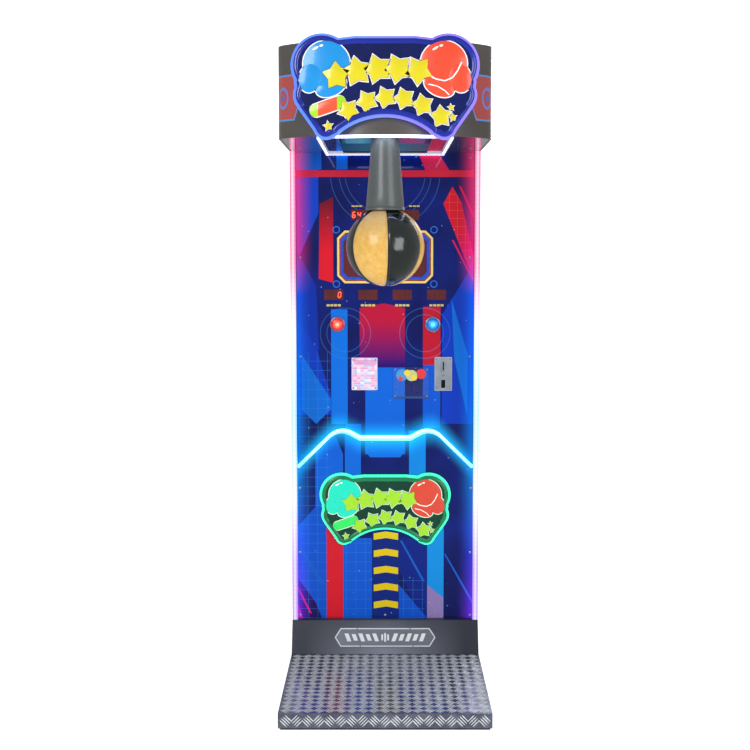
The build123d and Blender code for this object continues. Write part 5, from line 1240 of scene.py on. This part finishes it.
class PUNCH_OT_sleeve(bpy.types.Operator):
    """Leather sleeve over the arm, with its turned hems and rear seam"""
    bl_idname = "punch.sleeve"
    bl_label = "Sleeve"

    def execute(self, context):
        low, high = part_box("bag_sleeve")
        arm_low, arm_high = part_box("swing_arm")
        middle_y = (low.y + high.y) / 2
        foot = (high.x - low.x) / 2
        neck = 41 * MM
        wall, hem = 3.2 * MM, 12 * MM
        tall = high.z - low.z

        def radius_at(z):
            return foot + (neck - foot) * (z - low.z) / tall

        outside = [(radius_at(low.z) - 1.2 * MM, low.z), (radius_at(low.z), low.z + 1.5 * MM),
                   (radius_at(low.z + hem), low.z + hem - 1.2 * MM), (radius_at(low.z + hem) - 1.1 * MM, low.z + hem),
                   (radius_at(low.z + hem) - 0.8 * MM, low.z + hem + 1.5 * MM)]
        outside += [(radius_at(low.z + tall * share) - 0.5 * MM, low.z + tall * share)
                    for share in (0.15, 0.25, 0.35, 0.45, 0.55, 0.65, 0.75, 0.85, 0.93)]
        outside += [(radius_at(high.z) - 0.6 * MM, high.z - 3 * MM), (radius_at(high.z) - 3 * MM, high.z),
                    (17 * MM, high.z)]
        inside = [(17 * MM, high.z - wall), (radius_at(high.z) - wall - 2 * MM, high.z - wall - 1 * MM)]
        inside += [(radius_at(low.z + tall * share) - wall, low.z + tall * share) for share in (0.8, 0.4, 0.1)]
        inside += [(radius_at(low.z) - wall, low.z + 1 * MM)]
        outline = outside + inside
        bm = bmesh.new()
        verts = [bm.verts.new((r, middle_y, z)) for r, z in outline]
        edges = [bm.edges.new(pair) for pair in zip(verts, verts[1:] + verts[:1])]
        bmesh.ops.spin(bm, geom=verts + edges, cent=(0, middle_y, 0), axis=(0, 0, 1), dvec=(0, 0, 0),
                       angle=2 * math.pi, steps=120, use_merge=True, use_duplicate=False)
        bmesh.ops.remove_doubles(bm, verts=bm.verts, dist=0.02 * MM)
        for vert in bm.verts:
            turn = math.atan2(vert.co.x, -(vert.co.y - middle_y))
            sag = 0.5 * MM * (1 + math.sin(2 * turn + vert.co.z * 16)) * (0.5 + 0.5 * math.sin(turn * 3 + vert.co.z * 31))
            flat = Vector((vert.co.x, vert.co.y - middle_y, 0))
            if flat.length > 30 * MM:
                vert.co -= flat.normalized() * sag
        hide, pebbles, creases = leather("sleeve_leather", 900.0, 0.10)
        x, y, z = hide.axes()
        colour = hide.mix(creases, ink(62, 68, 68), ink(88, 94, 94))
        stitches = (z.near(low.z * 1000 + 9.0, 0.6) & ((x % 6.0) < 3.6))
        rear = (y > middle_y * 1000) & x.near(0.0, 0.9)
        colour = hide.mix(rear, colour, ink(24, 26, 26))
        hide.set("Base Color", hide.mix(stitches, colour, ink(40, 44, 44)))
        hide.set("Roughness", creases * 0.14 + 0.34)
        hide.set("Coat Weight", 0.3)
        finished(bm, "arm_sleeve", hide, "punch_arm", ("bag_sleeve",), smooth=40)
        return {"FINISHED"}


# ------------------------------------------------------------------ stage
class PUNCH_OT_stage(bpy.types.Operator):
    """Pale floor, studio lights and camera"""
    bl_idname = "punch.stage"
    bl_label = "Stage"

    def execute(self, context):
        made = context.scene.punch_machine.stage
        scene = context.scene
        scene.view_settings.view_transform = "Standard"
        world = bpy.data.worlds.new("Studio")
        world.use_nodes = True
        world.node_tree.nodes["Background"].inputs["Color"].default_value = (1, 1, 1, 1)
        world.node_tree.nodes["Background"].inputs["Strength"].default_value = made.studio
        scene.world = world

        pale = Finish("studio_floor", roughness=0.9, specular_ior_level=0.1, emission_strength=0.72)
        pale.set("Base Color", pale.tint((0.9, 0.9, 0.9, 1.0), pale.noise(0.6, 2.0) * 0.02 + 0.99))
        pale.set("Emission Color", (1.0, 1.0, 1.0, 1.0))
        bm = bmesh.new()
        wide, front, back, tall, bend = 14.0, -9.0, 5.0, 7.0, 2.0
        verts = [bm.verts.new((-wide, front, 0)), bm.verts.new((-wide, back - bend, 0))]
        for step in range(1, 13):
            turn = math.pi / 2 * step / 12
            verts.append(bm.verts.new((-wide, back - bend + bend * math.sin(turn), bend - bend * math.cos(turn))))
        verts.append(bm.verts.new((-wide, back, tall)))
        edges = [bm.edges.new(pair) for pair in zip(verts, verts[1:])]
        swept = bmesh.ops.extrude_edge_only(bm, edges=edges)["geom"]
        bmesh.ops.translate(bm, vec=(2 * wide, 0, 0), verts=[v for v in swept if isinstance(v, bmesh.types.BMVert)])
        bmesh.ops.recalc_face_normals(bm, faces=bm.faces)
        if sum(face.normal.z for face in bm.faces) < 0:
            bmesh.ops.reverse_faces(bm, faces=bm.faces)
        mesh = bpy.data.meshes.new("studio_floor")
        bm.to_mesh(mesh)
        bm.free()
        mesh.materials.append(pale.material)
        mesh.shade_smooth()
        floor = bpy.data.objects.new("studio_floor", mesh)
        scene.collection.objects.link(floor)
        floor.visible_glossy = False

        for name, where, aim, size, power in (
                ("key_light", (-2.6, -4.6, 3.4), (0, 0, 1.1), 2.4, made.key),
                ("fill_light", (3.0, -4.2, 2.2), (0, 0, 1.0), 2.6, made.key * 0.6),
                ("rear_light", (1.5, 3.4, 3.2), (0, 0, 1.4), 2.0, made.key * 0.5)):
            light = bpy.data.lights.new(name, "AREA")
            light.shape, light.size, light.energy = "SQUARE", size, power
            lamp = bpy.data.objects.new(name, light)
            lamp.location = where
            lamp.rotation_euler = (Vector(aim) - Vector(where)).to_track_quat("-Z", "Y").to_euler()
            scene.collection.objects.link(lamp)

        camera = bpy.data.cameras.new("front_camera")
        camera.lens, camera.sensor_width = made.lens, 36.0
        camera.shift_x, camera.shift_y = -0.0135, -0.0193
        view = bpy.data.objects.new("front_camera", camera)
        view.location = (0, -made.distance, made.height)
        view.rotation_euler = (math.pi / 2 - made.tilt, 0, 0)
        scene.collection.objects.link(view)
        scene.camera = view
        return {"FINISHED"}


STEPS = (PUNCH_OT_platform, PUNCH_OT_cabinet, PUNCH_OT_name_plate, PUNCH_OT_front, PUNCH_OT_displays,
         PUNCH_OT_controls, PUNCH_OT_lights, PUNCH_OT_head, PUNCH_OT_signs, PUNCH_OT_ball,
         PUNCH_OT_sleeve, PUNCH_OT_stage)


class PUNCH_PT_machine(bpy.types.Panel):
    """Lists the machine's pieces and their settings"""
    bl_idname = "PUNCH_PT_machine"
    bl_label = "Punch Machine"
    bl_space_type = "VIEW_3D"
    bl_region_type = "UI"
    bl_category = "Punch Machine"

    def draw(self, context):
        machine = context.scene.punch_machine
        for name in ("platform", "light", "sign", "ball", "stage"):
            group = getattr(machine, name)
            box = self.layout.box()
            box.label(text=name.title())
            for prop in group.bl_rna.properties:
                if prop.identifier not in ("rna_type", "name"):
                    box.prop(group, prop.identifier)
        for step in STEPS:
            self.layout.operator(step.bl_idname)


CLASSES = (PlatformSettings, LightSettings, SignSettings, BallSettings, StageSettings, MachineSettings,
           *STEPS, PUNCH_PT_machine)


def register():
    for made in CLASSES:
        bpy.utils.register_class(made)
    bpy.types.Scene.punch_machine = PointerProperty(type=MachineSettings)


def unregister():
    del bpy.types.Scene.punch_machine
    for made in reversed(CLASSES):
        bpy.utils.unregister_class(made)


def main():
    register()
    for step in STEPS:
        group, name = step.bl_idname.split(".")
        getattr(getattr(bpy.ops, group), name)()


if __name__ == "__main__":
    main()
